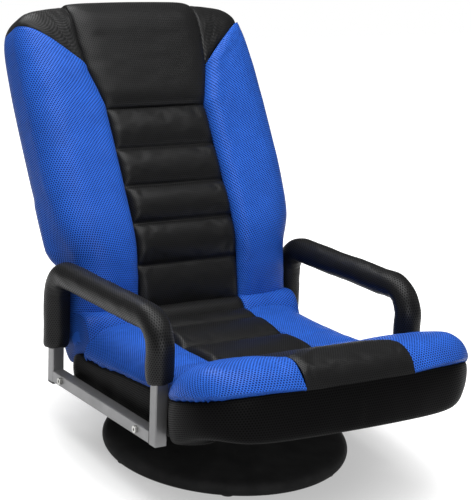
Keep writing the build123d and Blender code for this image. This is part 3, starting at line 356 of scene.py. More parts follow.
thick = base_cover.modifiers.new("cloth", "SOLIDIFY")
thick.thickness = CLOTH_THICK
thick.offset = -1

# Seat boxing: the band of dull black mesh over foam that makes the seat's sides, its
# bottom edge and its flared front. The seat group leans back on the swivel.
holes, holes_in, holes_out = group_tree(
    "spacer mesh", [("Pitch", "Float", 0.0045)], [("Hole", "Float"), ("Height", "Float")]
)
where = holes.nodes.new("ShaderNodeTexCoord").outputs["UV"]
split = holes.nodes.new("ShaderNodeSeparateXYZ")
holes.links.new(where, split.inputs[0])
column = math_node(holes, "DIVIDE", split.outputs["X"], holes_in.outputs["Pitch"])
row = math_node(holes, "DIVIDE", split.outputs["Y"], math_node(
    holes, "MULTIPLY", holes_in.outputs["Pitch"], 0.8))
odd = math_node(holes, "MULTIPLY", math_node(holes, "FLOORED_MODULO", math_node(
    holes, "FLOOR", row), 2.0), 0.5)
in_column = math_node(holes, "SUBTRACT", math_node(holes, "FRACT", math_node(
    holes, "ADD", column, odd)), 0.5)
in_row = math_node(holes, "MULTIPLY", math_node(holes, "SUBTRACT", math_node(
    holes, "FRACT", row), 0.5), 0.8)
reach = math_node(holes, "SQRT", math_node(
    holes, "ADD", math_node(holes, "MULTIPLY", in_column, in_column),
    math_node(holes, "MULTIPLY", in_row, in_row)))
hole = ramp_node(holes, reach, 0.24, 0.36, 1, 0)
holes.links.new(hole, holes_out.inputs["Hole"])
holes.links.new(math_node(holes, "SUBTRACT", 1.0, hole), holes_out.inputs["Height"])


def spacer_mesh(name, thread, hole_shade, pitch, gloss, depth, sheen, sheen_tint):
    """Knitted spacer mesh: rows of small holes, soft sheen, uneven dye. The holes take a far darker colour,
    painted shade for their depth.
    """
    material, tree, shader = new_material(name, thread, 0.55, gloss)
    shader.inputs["Sheen Weight"].default_value = sheen
    shader.inputs["Sheen Roughness"].default_value = 0.4
    shader.inputs["Sheen Tint"].default_value = (*sheen_tint, 1)
    knit = tree.nodes.new("ShaderNodeGroup")
    knit.node_tree = holes
    knit.inputs["Pitch"].default_value = pitch
    dye = ramp_node(tree, noise_node(tree, 16, 4), 0.3, 0.7, 0, 1)
    worn = mix_colour(tree, dye, tuple(0.82 * c for c in thread), thread)
    # The holes take the far darker second colour: painted shade for their depth.
    tree.links.new(mix_colour(tree, knit.outputs["Hole"], worn, hole_shade), shader.inputs["Base Color"])
    tree.links.new(ramp_node(tree, knit.outputs["Hole"], 0, 1, 0.42, 1.0), shader.inputs["Roughness"])
    bump(tree, shader, knit.outputs["Height"], depth, 0.0012)
    return material


# Its second colour is the painted shade in the mesh's holes.
boxing_mesh = spacer_mesh("dull black mesh", (0.0046, 0.0046, 0.0048), (0.0004, 0.0004, 0.0004),
                          0.0050, 0.045, 0.10, 0.0, (0.8, 0.8, 0.85))
SEAT_TILT = math.radians(4.8)
TILT_Z = 0.137


def lean(points):
    """Points of the seat group, drawn level in millimetres, as they stand in metres."""
    points = np.asarray(points, float) / 1000
    c, s = math.cos(SEAT_TILT), math.sin(SEAT_TILT)
    y, z = points[..., 1], points[..., 2] - TILT_Z
    return np.stack([points[..., 0], c * y + s * z, -s * y + c * z + TILT_Z], axis=-1)


def smooth_line(points, count, closed=False):
    """count points along a Catmull-Rom line through points, evenly spaced by length."""
    p = np.asarray(points, float)
    if closed:
        p = np.concatenate([p[-1:], p, p[:2]])
    else:
        p = np.concatenate([2 * p[:1] - p[1:2], p, 2 * p[-1:] - p[-2:-1]])
    out = []
    for a, b, c, d in zip(p, p[1:], p[2:], p[3:]):
        for t in np.linspace(0, 1, 16, endpoint=False):
            out.append(0.5 * (2 * b + (c - a) * t + (2 * a - 5 * b + 4 * c - d) * t * t
                              + (3 * b - a - 3 * c + d) * t ** 3))
    out.append(p[-2])
    out = np.array(out)
    run = np.concatenate([[0], np.cumsum(np.linalg.norm(np.diff(out, axis=0), axis=1))])
    at = np.linspace(0, run[-1], count + 1)[:-1] if closed else np.linspace(0, run[-1], count)
    return np.stack([np.interp(at, run, out[:, k]) for k in range(out.shape[1])], axis=1)


SEAT_EDGE = (
    (0, -464), (60, -462.5), (120, -457), (180, -448), (232, -435), (268, -411), (293, -379),
    (303, -343), (304, -305), (297, -273), (282, -247), (267, -228), (262, -200), (262, -100), (262, 20),
    (262, 120), (261, 176), (252, 198), (228, 204), (120, 206), (0, 206),
)
half_edge = np.array(SEAT_EDGE, float)
full_edge = np.concatenate([half_edge, half_edge[-2:0:-1] * (-1, 1)])
seat_edge = smooth_line(full_edge, 260, closed=True)
edge_step = np.roll(seat_edge, -1, axis=0) - np.roll(seat_edge, 1, axis=0)
edge_out = np.stack([edge_step[:, 1], -edge_step[:, 0]], axis=1)
edge_out /= np.linalg.norm(edge_out, axis=1)[:, None]
edge_out *= np.sign((edge_out * seat_edge).sum(axis=1).mean())
UPTURN_Y, UPTURN_SLOPE, UPTURN_SOFT = -190.0, 0.26, 40
SEAM_Z, BOTTOM_Z = 197, 112
SEAM_AT, SEAM_WAVE = (-130, -27, 60, 120, 150, 180, 210), (5, -1, -10, -13, -8, 3, 10)


def upturn(y):
    """How far the seat's lower lines have turned up at y, in front of the arms."""
    ahead = UPTURN_Y - np.asarray(y, float)
    return UPTURN_SLOPE * 0.5 * (ahead + np.sqrt(ahead ** 2 + UPTURN_SOFT ** 2))


def seam_height(y):
    """Height of the seam between the boxing and the top pads."""
    return SEAM_Z + upturn(y) + np.interp(y, SEAM_AT, SEAM_WAVE)


BOXING_PROFILE = (
    (-86, 0.11), (-62, 0.02), (-38, 0.0), (-19, 0.005), (-9, 0.03), (-3.5, 0.09), (-0.5, 0.19), (1.4, 0.38),
    (2.4, 0.6), (2.2, 0.78), (0.8, 0.92), (-1.8, 0.985), (-5.0, 1.0), (-14, 0.98),
)
CORNER_X, CORNER_Y, CORNER_REACH = 292, -372, 75
boxing = np.zeros((len(BOXING_PROFILE), len(seat_edge), 3))
waver = ripple((len(BOXING_PROFILE), len(seat_edge)), 3, 5)
edge_x, edge_y = seat_edge[:, 0], seat_edge[:, 1]
# The top is lower at the rear, under the crease. The bottom rises at the front corners.
top = seam_height(edge_y) - 34 * np.clip((edge_y - 150) / 50, 0, 1)
low = BOTTOM_Z + upturn(edge_y)
lean_back = np.clip((-400 - edge_y) / 60, 0, 1)
corner = np.exp(-((np.abs(edge_x) - CORNER_X) ** 2 + (edge_y - CORNER_Y) ** 2) / CORNER_REACH ** 2)
low = low + 17 * corner - 5 * np.clip((-300 - edge_y) / 80, 0, 1)
for i, (out, share) in enumerate(BOXING_PROFILE):
    sway = out + 1.1 * waver[i] * (0.1 < share < 0.7) - 14 * share * lean_back
    sway = sway - 10 * corner * np.clip(1 - share / 0.55, 0, 1) ** 2
    boxing[i, :, :2] = seat_edge + edge_out * sway[:, None]
    boxing[i, :, 2] = low + (top - low) * share
seat_boxing = add_piece(
    "seat_boxing_cover", grid_mesh("seat_boxing_cover", lean(boxing), closed=True, fill=True),
    boxing_mesh, "seat", ["seat_boxing", "seat_dust_cover"],
)

# Seat centre: black spacer mesh over foam, sewn across into channels, which runs on over the
# front roll and down to the boxing.
# Its second colour is the painted shade in the mesh's holes.
black_mesh = spacer_mesh("black spacer mesh", (0.0045, 0.0045, 0.0047), (0.0004, 0.0004, 0.0004),
                         0.0050, 0.30, 0.10, 0.0, (0.8, 0.8, 0.85))
STRIP = 120.0
SEAT_SEAMS = (150, 86, -10, -134)
ROLL_FROM, FRONT_END = SEAT_SEAMS[-1], -451
CHANNEL_RISE, ROLL_RISE = 15.0, 5.0
SEAT_LINE_Y = (
    -451, -449, -445, -436, -424, -410, -395, -378, -350, -280, -210, -160, -134, -70, -10, 40, 86, 130, 165,
)
SEAT_LINE_Z = (
    264, 273, 283, 294, 303, 309, 311.5, 310, 301, 276, 251, 233, 223, 223, 223, 229, 235, 234, 226,
)
SEWN_IN = ((0.5, 3.0), (4.0, 8.0), (12.0, 14.0))


def seat_line(y):
    """Height of the seat's top along its middle, without the channels' crowns."""
    return np.interp(y, SEAT_LINE_Y, SEAT_LINE_Z)


def channel_crown(at, seams, rise):
    """Rise of the sewn channels: a pillow between each two seams, a valley at each."""
    at = np.asarray(at, float)
    out = np.zeros_like(at)
    seams = sorted(seams)
    for low, high in zip(seams, seams[1:]):
        t = np.clip((at - low) / (high - low), 0, 1)
        inside = (at >= low) & (at <= high)
        out = np.where(inside, rise * (1 - np.abs(2 * t - 1) ** 2.6) ** 0.55, out)
    return out


def rounded(distance, reach, power=2.2):
    """0 at an edge, rising like a quarter ellipse to 1 at reach."""
    return (1 - (1 - np.clip(distance / reach, 0, 1)) ** power) ** (1 / power)


def tucked(flat, height, steps):
    """Rings under a panel's edge, where it is sewn in: (inset, drop) from the edge each."""
    edge, level = rim(flat), rim(height)
    step = np.roll(edge, -1, axis=0) - np.roll(edge, 1, axis=0)
    out = np.stack([step[:, 1], -step[:, 0]], axis=1)
    out /= np.linalg.norm(out, axis=1)[:, None] + 1e-9
    turning = (edge[:, 0] * np.roll(edge[:, 1], -1) - edge[:, 1] * np.roll(edge[:, 0], -1)).sum()
    out = out * np.sign(turning)
    return [np.concatenate([edge - inset * out, (level - drop)[:, None]], axis=1) for inset, drop in steps]


pad_y = np.concatenate([
    np.linspace(158, ROLL_FROM, 96), np.linspace(-138, -372, 50), np.linspace(-377, -440, 18),
    np.array([-443.5, -446, -448, -449.5, -450.5, FRONT_END]),
])
pad_x = STRIP * np.sin(np.linspace(-math.pi / 2, math.pi / 2, 41))
seat_pad = np.zeros((len(pad_y), len(pad_x), 3))
side_dip = 1 - (1 - np.clip((STRIP - np.abs(pad_x)) / 16, 0, 1)) ** 2.2
cockle = ripple(seat_pad.shape[:2], 11, 4)
for i, y in enumerate(pad_y):
    crown = channel_crown(y, SEAT_SEAMS, CHANNEL_RISE) if y > ROLL_FROM else 0.0
    roll = ROLL_RISE * np.clip((ROLL_FROM - y) / 60, 0, 1) * np.clip((y - FRONT_END) / 20, 0, 1)
    bow = 7 * (pad_x / STRIP) ** 2 * np.clip((-380 - y) / 70, 0, 1)
    seat_pad[i, :, 0] = pad_x
    seat_pad[i, :, 1] = y + bow
    seat_pad[i, :, 2] = seat_line(y) + (crown + roll) * side_dip + 0.5 * cockle[i]
pad_tuck = [lean(ring) for ring in tucked(seat_pad[..., :2], seat_pad[..., 2], SEWN_IN)]
padding = []
pad_mesh = grid_mesh("seat_centre_pad", lean(seat_pad), fill=True, skirt=pad_tuck)
pad_piece = add_piece("seat_centre_pad", pad_mesh, black_mesh, "seat", ["seat_pad"])
off_seam = np.min([np.abs(pad_y - y) for y in (*SEAT_SEAMS, FRONT_END)], axis=0)
padding.append((pad_piece, (rounded(off_seam, 26)[:, None] * side_dip[None]).ravel()))

# Seat side pads, left and right: blue spacer mesh over foam, sewn to the centre strip and to
# the boxing. Each flares in front of its arm and rounds off at the front corner.
# Its second colour, a deep blue, is the painted shade in the mesh's holes.
blue_mesh = spacer_mesh("blue spacer mesh", (0.026, 0.138, 0.66), (0.003, 0.010, 0.080),
                        0.0052, 0.16, 0.25, 0.02, (0.5, 0.65, 1.0))
MIRRORED = ((-1, "left"), (1, "right"))
PAD_REAR, PAD_FRONT = 134.0, -444.0
SIDE_TOP_Y = (-460, -440, -420, -390, -350, -305, -262, -226, -190, -134, -50, 0, 70, 104, 118, 135)
SIDE_TOP_Z = (284, 296, 305, 310, 306, 294, 279, 265, 250, 235, 232, 234, 238, 241, 243, 246)
right_edge = smooth_line(half_edge, 600)


def edge_span(line, start, end, count):
    """Points along a line between the points of it nearest to start and end."""
    a = np.argmin(((line - start) ** 2).sum(axis=1))
    b = np.argmin(((line - end) ** 2).sum(axis=1))
    at = np.linspace(a, b, count)
    return np.stack([np.interp(at, np.arange(len(line)), line[:, k]) for k in (0, 1)], axis=1)


def both_ends(count):
    """Shares from 0 to 1, packed closer towards both ends."""
    return (1 - np.cos(np.linspace(0, math.pi, count))) / 2


def along_line(points, shares):
    """Points at shares of a line's length."""
    p = np.asarray(points, float)
    run = np.concatenate([[0], np.cumsum(np.linalg.norm(np.diff(p, axis=0), axis=1))])
    return np.stack([np.interp(shares * run[-1], run, p[:, k]) for k in range(p.shape[1])], axis=1)


def between(low, high, left, right, rows, cols):
    """Grid of flat points between four lines: low and high run across, left and right along."""
    v, u = both_ends(rows), both_ends(cols)
    low, high = along_line(low, u), along_line(high, u)
    left, right = along_line(left, v), along_line(right, v)
    v, u = v[:, None, None], u[None, :, None]
    corners = (1 - u) * (1 - v) * low[0] + u * (1 - v) * low[-1] + (1 - u) * v * high[0] + u * v * high[-1]
    return (1 - v) * low[None] + v * high[None] + (1 - u) * left[:, None] + u * right[:, None] - corners


def distance_to(points, line):
    """Distance of each flat point from a line of points."""
    flat = points.reshape(-1, 2)
    out = np.empty(len(flat))
    for k in range(0, len(flat), 2000):
        part = flat[k:k + 2000]
        out[k:k + 2000] = np.sqrt(((part[:, None] - line[None]) ** 2).sum(axis=2).min(axis=1))
    return out.reshape(points.shape[:2])


run_out = np.gradient(right_edge, axis=0)
run_out = np.stack([-run_out[:, 1], run_out[:, 0]], axis=1)
run_out /= np.linalg.norm(run_out, axis=1)[:, None]
run_out *= np.sign(run_out[len(run_out) // 2, 0])
seam_line = right_edge + 2.6 * run_out
seam_line[:, 1] += 13 * np.clip((-400 - right_edge[:, 1]) / 60, 0, 1)
corner = np.array((289, -388.0))
plan = between(
    np.array([(STRIP, PAD_REAR), (261, PAD_REAR)]),
    edge_span(seam_line, np.array((STRIP, PAD_FRONT)), corner, 80),
    np.array([(STRIP, PAD_REAR), (STRIP, PAD_FRONT)]),
    edge_span(seam_line, np.array((262.0, PAD_REAR)), corner, 200),
    96, 40,
)
px, py = plan[..., 0], plan[..., 1]
seam_z = seam_height(py) + 2.5
inner = rounded(px - STRIP, 26)
top = np.interp(py, SIDE_TOP_Y, SIDE_TOP_Z)
at_front = np.interp(py, (-445, -436, -424, -410), (1.0, 0.5, 0.2, 0))
top = at_front * seat_line(py - 6) + (1 - at_front) * top
top = seat_line(py - 5) * (1 - inner) + top * inner
from_seam = distance_to(plan, seam_line)
soft = np.interp(py, (-300, -200), (54, 84))
height = seam_z + (top - seam_z) * rounded(from_seam / soft, 1.0, 2.0)
height = height + 0.7 * ripple(height.shape, 21, 5) * np.clip(from_seam / 40, 0, 1)
for sign, side in MIRRORED:
    pad = np.stack([sign * px, py, height], axis=-1)
    pad_tuck = [lean(ring * (sign, 1, 1)) for ring in tucked(plan, height, SEWN_IN)]
    name = f"seat_side_cushion_{side}"
    mesh = grid_mesh(name, lean(pad), fill=True, skirt=pad_tuck)
    piece = add_piece(name, mesh, blue_mesh, "seat", [f"seat_side_pad_{side}"])
    padding.append((piece, (inner * rounded(from_seam, 40) * rounded(PAD_REAR - py, 30)).ravel()))

# Arms: a loop of bent square tube with a straight tube between its legs, painted silver grey,
# and bolted through the boxing to the seat's side rails.
arm_grey = painted("silver grey paint", (0.20, 0.20, 0.203), (0.155, 0.155, 0.158), 0.34, 1100,
                   metallic=0.45, coat=0.15)
finish_nodes(arm_grey, [f"{piece}_{side}" for side in SIDES for piece in ("arm_frame", "arm_lower_tube")])

# Arm sleeves: black mesh cloth over foam, slipped over the top of each loop. The cloth bunches
# inside the bends, and its cut ends are left ragged.
ARM_X, ARM_FRONT, ARM_REAR, ARM_TOP, ARM_BEND = 282.5, -206.5, 223.5, 348.0, 55.0
SLEEVE_R, SLEEVE_REAR_END, SLEEVE_FRONT_END = 27.0, 188, 236
REAR_BEND_AT, FRONT_BEND_AT, BEND_REACH = 145, 550, 42
END_TURNED_IN = 0.78
bend = np.linspace(0, math.pi / 2, 14)
rear_y, front_y, bend_z = ARM_REAR - ARM_BEND, ARM_FRONT + ARM_BEND, ARM_TOP - ARM_BEND
path = np.concatenate([
    np.array([(ARM_REAR, z) for z in np.linspace(SLEEVE_REAR_END, bend_z, 18)]),
    np.stack([rear_y + ARM_BEND * np.cos(bend), bend_z + ARM_BEND * np.sin(bend)], axis=1)[1:],
    np.array([(y, ARM_TOP) for y in np.linspace(rear_y, front_y, 48)])[1:],
    np.stack([front_y - ARM_BEND * np.sin(bend), bend_z + ARM_BEND * np.cos(bend)], axis=1)[1:],
    np.array([(ARM_FRONT, z) for z in np.linspace(bend_z, SLEEVE_FRONT_END, 11)])[1:],
])
heading = np.gradient(path, axis=0)
heading /= np.linalg.norm(heading, axis=1)[:, None]
outward = np.stack([-heading[:, 1], heading[:, 0]], axis=1) * -1
run = np.concatenate([[0], np.cumsum(np.linalg.norm(np.diff(path, axis=0), axis=1))])
turn = np.linspace(0, 2 * math.pi, 33)[:-1]
bent = np.exp(-((run - REAR_BEND_AT) / BEND_REACH) ** 2)
bent = bent + np.exp(-((run - FRONT_BEND_AT) / BEND_REACH) ** 2)
for sign, side in MIRRORED:
    seed = 31 if side == "left" else 37
    bunch = ripple((len(path), len(turn)), seed, 3)
    long_fold = ripple((len(path), len(turn)), seed + 1, 7)
    sleeve = np.zeros((len(path), len(turn), 3))
    for i, (y, z) in enumerate(path):
        inside = np.clip(-np.sin(turn), 0, 1)
        radius = SLEEVE_R + 0.9 * long_fold[i] + bunch[i] * (0.5 + 1.6 * bent[i] * inside)
        radius = radius - 1.8 * bent[i] * inside * (1 + np.sin(run[i] * 0.55))
        end = min(run[i], run[-1] - run[i])
        radius = radius - 2.2 * math.exp(-end / 6)
        rag = 2.4 * bunch[i] * math.exp(-end / 9)
        sleeve[i, :, 0] = sign * (ARM_X + radius * np.cos(turn))
        sleeve[i, :, 1] = y + radius * np.sin(turn) * outward[i, 0] + rag * heading[i, 0]
        sleeve[i, :, 2] = z + radius * np.sin(turn) * outward[i, 1] + rag * heading[i, 1]
    ends = []
    for k in (0, -1):
        middle = np.array((sign * ARM_X, path[k, 0], path[k, 1]))
        ends.append(middle + (sleeve[k] - middle) * END_TURNED_IN)
    sleeve = np.concatenate([ends[0][None], sleeve, ends[1][None]])
    name = f"arm_sleeve_cloth_{side}"
    mesh = grid_mesh(name, lean(sleeve), closed=True, fill=True)
    piece = add_piece(name, mesh, black_mesh, "seat", [f"arm_sleeve_{side}"])

# Webbing: black elastic straps across the seat and back frames, under the foam. They stay the
# CAD's own solids, in a plain weave.
webbing = woven("elastic webbing", (0.02, 0.02, 0.02), (0.034, 0.034, 0.034), 0.85, 1800.0)
finish_nodes(webbing, ["seat_webbing", "back_webbing"])

# Crease: where the cover runs on from the seat into the back round the hinges, over a roll of
# foam. Black in the middle, blue at the sides.
CREASE = (
    (119, 204), (127, 222), (138, 246), (153, 262), (177, 267), (206, 258), (236, 232), (256, 200),
    (240, 166), (214, 150), (186, 160), (160, 180), (136, 194),
)
CREASE_HALF = 254.6
crease_line = smooth_line(CREASE, 56, closed=True)
crease_middle = crease_line.mean(axis=0)
for name, x0, x1, material, slot in (
    ("crease_left", -CREASE_HALF, -STRIP, blue_mesh, "blue_mesh"),
    ("crease_centre", -STRIP, STRIP, black_mesh, "black_mesh"),
    ("crease_right", STRIP, CREASE_HALF, blue_mesh, "blue_mesh"),
):
    across = x0 + (x1 - x0) * both_ends(22)
    roll = np.zeros((len(across), len(crease_line), 3))
    pucker = ripple(roll.shape[:2], int(abs(x0) + 5), 3)
    for i, x in enumerate(across):
        near = min(x - x0, x1 - x)
        shrink = 0.90 + 0.10 * rounded(np.array(near), 16)
        ring = crease_middle + (crease_line - crease_middle) * (shrink + 0.012 * pucker[i])[:, None]
        roll[i, :, 0] = x
        roll[i, :, 1:] = ring
    for row, shrink in ((0, 0.6), (0, 0.25), (-1, 0.6), (-1, 0.25)):
        ring = roll[row].copy()
        ring[:, 1:] = crease_middle + (crease_line - crease_middle) * shrink
        roll = np.concatenate([ring[None], roll] if row == 0 else [roll, ring[None]])
    piece = add_piece(
        name, grid_mesh(name, lean(roll), closed=True, fill=True), material, None,
        ["crease_gusset"] if name == "crease_centre" else [],
    )
    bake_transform(piece)

# Back centre pad: black spacer mesh over foam, sewn across into five channels, the middle one
# fuller than the rest. The back leans, and leans further above a bend.
FOOT = np.array((166.0, 229.0))
LOW_LEAN, HIGH_LEAN = math.radians(9.7), math.radians(30.3)
KNEE_AT, KNEE_R = 178.5, 160.0
KNEE_IN = KNEE_AT - KNEE_R * math.tan((HIGH_LEAN - LOW_LEAN) / 2)
KNEE_OUT = KNEE_IN + KNEE_R * (HIGH_LEAN - LOW_LEAN)


def on_back(x, s, d):
    """Point of the back: x across, s up along its front from the crease, d behind the front."""
    x, s, d = np.broadcast_arrays(*(np.asarray(a, float) for a in (x, s, d)))
    angle = LOW_LEAN + np.clip((s - KNEE_IN) / KNEE_R, 0, HIGH_LEAN - LOW_LEAN)
    low = np.minimum(s, KNEE_IN)
    y = FOOT[0] + low * math.sin(LOW_LEAN) + KNEE_R * (math.cos(LOW_LEAN) - np.cos(angle))
    z = FOOT[1] + low * math.cos(LOW_LEAN) + KNEE_R * (np.sin(angle) - math.sin(LOW_LEAN))
    high = np.maximum(s - KNEE_OUT, 0)
    y = y + high * math.sin(HIGH_LEAN) + d * np.cos(angle)
    z = z + high * math.cos(HIGH_LEAN) - d * np.sin(angle)
    return lean(np.stack([x, y, z], axis=-1))


BACK_SEAMS = (22.0, 121.7, 208.5, 288.4, 372.0, 465.0)
BACK_RISE = (15.0, 17.0, 24.0, 18.0, 17.0)
pad_s = np.linspace(10, 468, 150)
rise = np.zeros_like(pad_s)
for low, high, full in zip(BACK_SEAMS, BACK_SEAMS[1:], BACK_RISE):
    rise = np.maximum(rise, channel_crown(pad_s, (low, high), full))
side_dip = rounded(STRIP - np.abs(pad_x), 22)
depth = 4 - (rise + 2)[:, None] * side_dip[None] + 0.6 * ripple((len(pad_s), len(pad_x)), 41, 4)
mesh = grid_mesh("back_centre_pad", on_back(pad_x[None], pad_s[:, None], depth), fill=True)
piece = add_piece("back_centre_pad", mesh, black_mesh, "backrest", ["back_pad"])
off_seam = np.min([np.abs(pad_s - s) for s in BACK_SEAMS], axis=0)
padding.append((piece, (rounded(off_seam, 24)[:, None] * side_dip[None]).ravel()))

# Back bolsters, left and right: blue spacer mesh over foam, standing proud of the centre and
# wrapping round the sides to the rear panel.
BACK_EDGE = (
    (254, 8), (254, 34), (253.5, 62), (252.5, 105), (253, 130), (256, 150), (262, 168), (268, 187),
    (273.5, 208), (278, 234), (281.5, 268), (284, 315), (285, 380), (285, 500), (283, 570), (280, 620),
    (275, 651), (266, 674), (251, 690), (226, 701), (175, 708), (120, 710.5), (60, 711.5), (0, 712),
)
back_edge = smooth_line(BACK_EDGE, 800)
PILLOW_EDGE = ((119, 463), (130, 505), (142, 550), (150, 618), (152, 690), (152, 714))
pillow_edge = smooth_line(PILLOW_EDGE, 200)
# Steps round the edge: how far beyond it, how far behind the front, and the share of the flare.
WRAP = (
    (1.0, 50, 0.2), (2.0, 64, 0.5), (1.5, 78, 0.95), (-1.5, 90, 1.0), (-7, 98, 1.0), (-18, 103, 0.8),
    (-40, 104, 0.4),
)
FLARE_S, FLARE_X = (116, 130, 145, 170, 205, 250), (250, 262, 277, 283, 285, 286)
FLARE_END = 300


def wrap_round(flat, depth, line):
    """Carries the last column of a panel round the back's edge to its rear, which is wider
    than the front just above the arms."""
    step = np.gradient(line, axis=0)
    out = np.stack([step[:, 1], -step[:, 0]], axis=1)
    out /= np.linalg.norm(out, axis=1)[:, None]
    near = [np.argmin(((line - p) ** 2).sum(axis=1)) for p in flat[:, -1]]
    flare = np.maximum(np.interp(line[near][:, 1], FLARE_S, FLARE_X) - line[near][:, 0], 0)
    flare = np.where(line[near][:, 1] < FLARE_END, flare, 0)
    for b, d, share in WRAP:
        place = line[near] + b * out[near] + np.stack([share * flare, 0 * flare], axis=1)
        flat = np.concatenate([flat, place[:, None]], axis=1)
        depth = np.concatenate([depth, np.full((len(depth), 1), float(d))], axis=1)
    return flat, depth


BOLSTER_FOOT, BOLSTER_EDGE_D = 12.0, 36
SHOULDER = ((142, 550.0), (160, 571.0), (198, 608.0), (240, 644.0), (271, 663.0))
shoulder = smooth_line(SHOULDER, 40)
shoulder_end = np.array(SHOULDER[-1])
inner_line = np.concatenate([
    np.array([(STRIP, s) for s in np.linspace(BOLSTER_FOOT, 463, 80)]),
    edge_span(pillow_edge, (120, 466.0), SHOULDER[0], 20),
])
flat = between(
    np.array([(STRIP, BOLSTER_FOOT), (254, BOLSTER_FOOT)]), shoulder,
    inner_line, edge_span(back_edge, np.array((254, BOLSTER_FOOT)), shoulder_end, 300), 110, 34,
)
to_edge = distance_to(flat, back_edge)
to_shoulder = distance_to(flat, smooth_line(SHOULDER, 200))
full = np.interp(flat[..., 1], (10, 62, 100, 140, 550, 650), (6, 16, 24, 27, 27, 18))
depth = BOLSTER_EDGE_D - (BOLSTER_EDGE_D + full) * rounded(to_edge, 78)
inner_x = np.interp(flat[..., 1], inner_line[:, 1], inner_line[:, 0])
seam = np.minimum(rounded(flat[..., 0] - inner_x, 30), rounded(to_shoulder, 14) * 0.4 + 0.6)
depth = 4 * (1 - seam) + depth * seam
depth = depth + 0.7 * ripple(depth.shape, 51, 4)
loose = seam * rounded(to_edge, 40) * rounded(flat[..., 1] - BOLSTER_FOOT, 40)
loose = loose * rounded(to_shoulder, 24)
flat, depth = wrap_round(flat, depth, back_edge)
loose = np.concatenate([loose, np.zeros((len(loose), len(WRAP)))], axis=1)
for sign, side in MIRRORED:
    grid = on_back(sign * flat[..., 0], flat[..., 1], depth)
    name = f"back_bolster_cover_{side}"
    mesh = grid_mesh(name, grid, fill=True)
    piece = add_piece(name, mesh, blue_mesh, "backrest", [f"back_bolster_{side}"])
    padding.append((piece, loose.ravel()))

# Yoke: black mesh over both shoulders, sewn to the bolsters on a slant and to the pillow, and
# turned over the back's top corners.
YOKE_EDGE_D, YOKE_FULL = 40, 10
top_edge = edge_span(back_edge, shoulder_end, np.array((150, 714.0)), 60)
hem = along_line(np.concatenate([
    shoulder[::-1], edge_span(pillow_edge, (142, 551.0), (152, 714.0), 40),
]), np.linspace(0.01, 0.99, 60))
share = both_ends(26)[None, :, None]
flat = hem[:, None] * (1 - share) + top_edge[:, None] * share
depth = YOKE_EDGE_D - (YOKE_EDGE_D + YOKE_FULL) * rounded(distance_to(flat, back_edge), 68)
depth = depth + 5 * (1 - rounded(distance_to(flat, hem), 12))
depth = depth + 0.5 * ripple(depth.shape, 61, 4)
flat, depth = wrap_round(flat, depth, back_edge)
for sign, side in MIRRORED:
    grid = on_back(sign * flat[..., 0], flat[..., 1], depth)
    name = f"back_yoke_{side}"
    mesh = grid_mesh(name, grid, fill=True)
    replaced = ["back_yoke"] if side == "left" else []
    piece = add_piece(name, mesh, black_mesh, "backrest", replaced)

# Head pillow: the fuller black pad at the top, which stands proud of the shoulders and turns
# over the top edge.
PILLOW_FOOT, PILLOW_TOP, PILLOW_COLUMNS = 458.0, 716.5, 45
PILLOW_NARROWS, PILLOW_TOP_D = 684, 42
PILLOW_WRAP = ((PILLOW_TOP, 52), (PILLOW_TOP, 64), (715, 78), (710, 92), (700, 101), (684, 104))
rows = []
depths = []
for s in np.concatenate([np.linspace(PILLOW_FOOT, 686, 56), np.linspace(690, 716, 12)]):
    half = np.interp(s, *np.array(PILLOW_EDGE, float).T[::-1])
    half = half + 3 * math.sin(math.pi * np.clip((s - PILLOW_FOOT) / 255, 0, 1))
    if s > PILLOW_NARROWS:
        half = half - 12 * ((s - PILLOW_NARROWS) / 36) ** 2
    x = half * np.sin(np.linspace(-math.pi / 2, math.pi / 2, PILLOW_COLUMNS))
    low = rounded(np.array(s - PILLOW_FOOT), 46)
    high = rounded(np.array(PILLOW_TOP - s), 70)
    edge = rounded(half - np.abs(x), 50)
    sag = 3 * (1 - (x / 150) ** 2)
    rows.append(np.stack([x, s + sag * np.clip((s - 600) / 120, 0, 1)], axis=1))
    depths.append(PILLOW_TOP_D - (PILLOW_TOP_D + 3) * high - 18 * edge * low * high + 9 * (1 - low))
for s, d in PILLOW_WRAP:
    rows.append(np.stack([rows[-1][:, 0], np.full(PILLOW_COLUMNS, float(s)) + 2], axis=1))
    depths.append(np.full(PILLOW_COLUMNS, float(d)))
flat, depth = np.array(rows), np.array(depths)
depth = depth + 0.6 * ripple(depth.shape, 71, 5)
mesh = grid_mesh("head_pillow_cover", on_back(flat[..., 0], flat[..., 1], depth), fill=True)
piece = add_piece("head_pillow_cover", mesh, black_mesh, "backrest", ["head_pillow"])

# Rear panel: plain black cloth over the back's rear foam, sewn all round inside the edge. It
# swells a little towards its middle.
black_cloth = woven("black cloth", (0.0060, 0.0060, 0.0062), (0.0100, 0.0100, 0.0103), 0.72, 2600.0)
REAR_INSET, REAR_HALF, REAR_FOOT, REAR_TOP = 22, 232, 8.0, 695.0
REAR_EDGE_D, REAR_SWELL = 100, 8
inset = np.array(BACK_EDGE, float)
inset = np.stack([np.maximum(inset[:, 0] - REAR_INSET, 0), np.minimum(inset[:, 1], REAR_TOP)], axis=1)
rear_edge = smooth_line(inset, 400)
corner = np.array((236, 684.0))
right_line = edge_span(rear_edge, np.array((REAR_HALF, REAR_FOOT)), corner, 200)
top_line = edge_span(rear_edge, corner, np.array((0, REAR_TOP)), 60)
top_line = np.concatenate([top_line * (-1, 1), top_line[::-1][1:]])
left_line = right_line * (-1, 1)
foot_line = np.array([(-REAR_HALF, REAR_FOOT), (REAR_HALF, REAR_FOOT)])
flat = between(foot_line, top_line, left_line, right_line, 90, 60)
foot_points = np.array([(x, REAR_FOOT) for x in range(-REAR_HALF, REAR_HALF + 1, 8)])
outline = np.concatenate([right_line, left_line, top_line, foot_points])
depth = REAR_EDGE_D + REAR_SWELL * rounded(distance_to(flat, outline), 40)
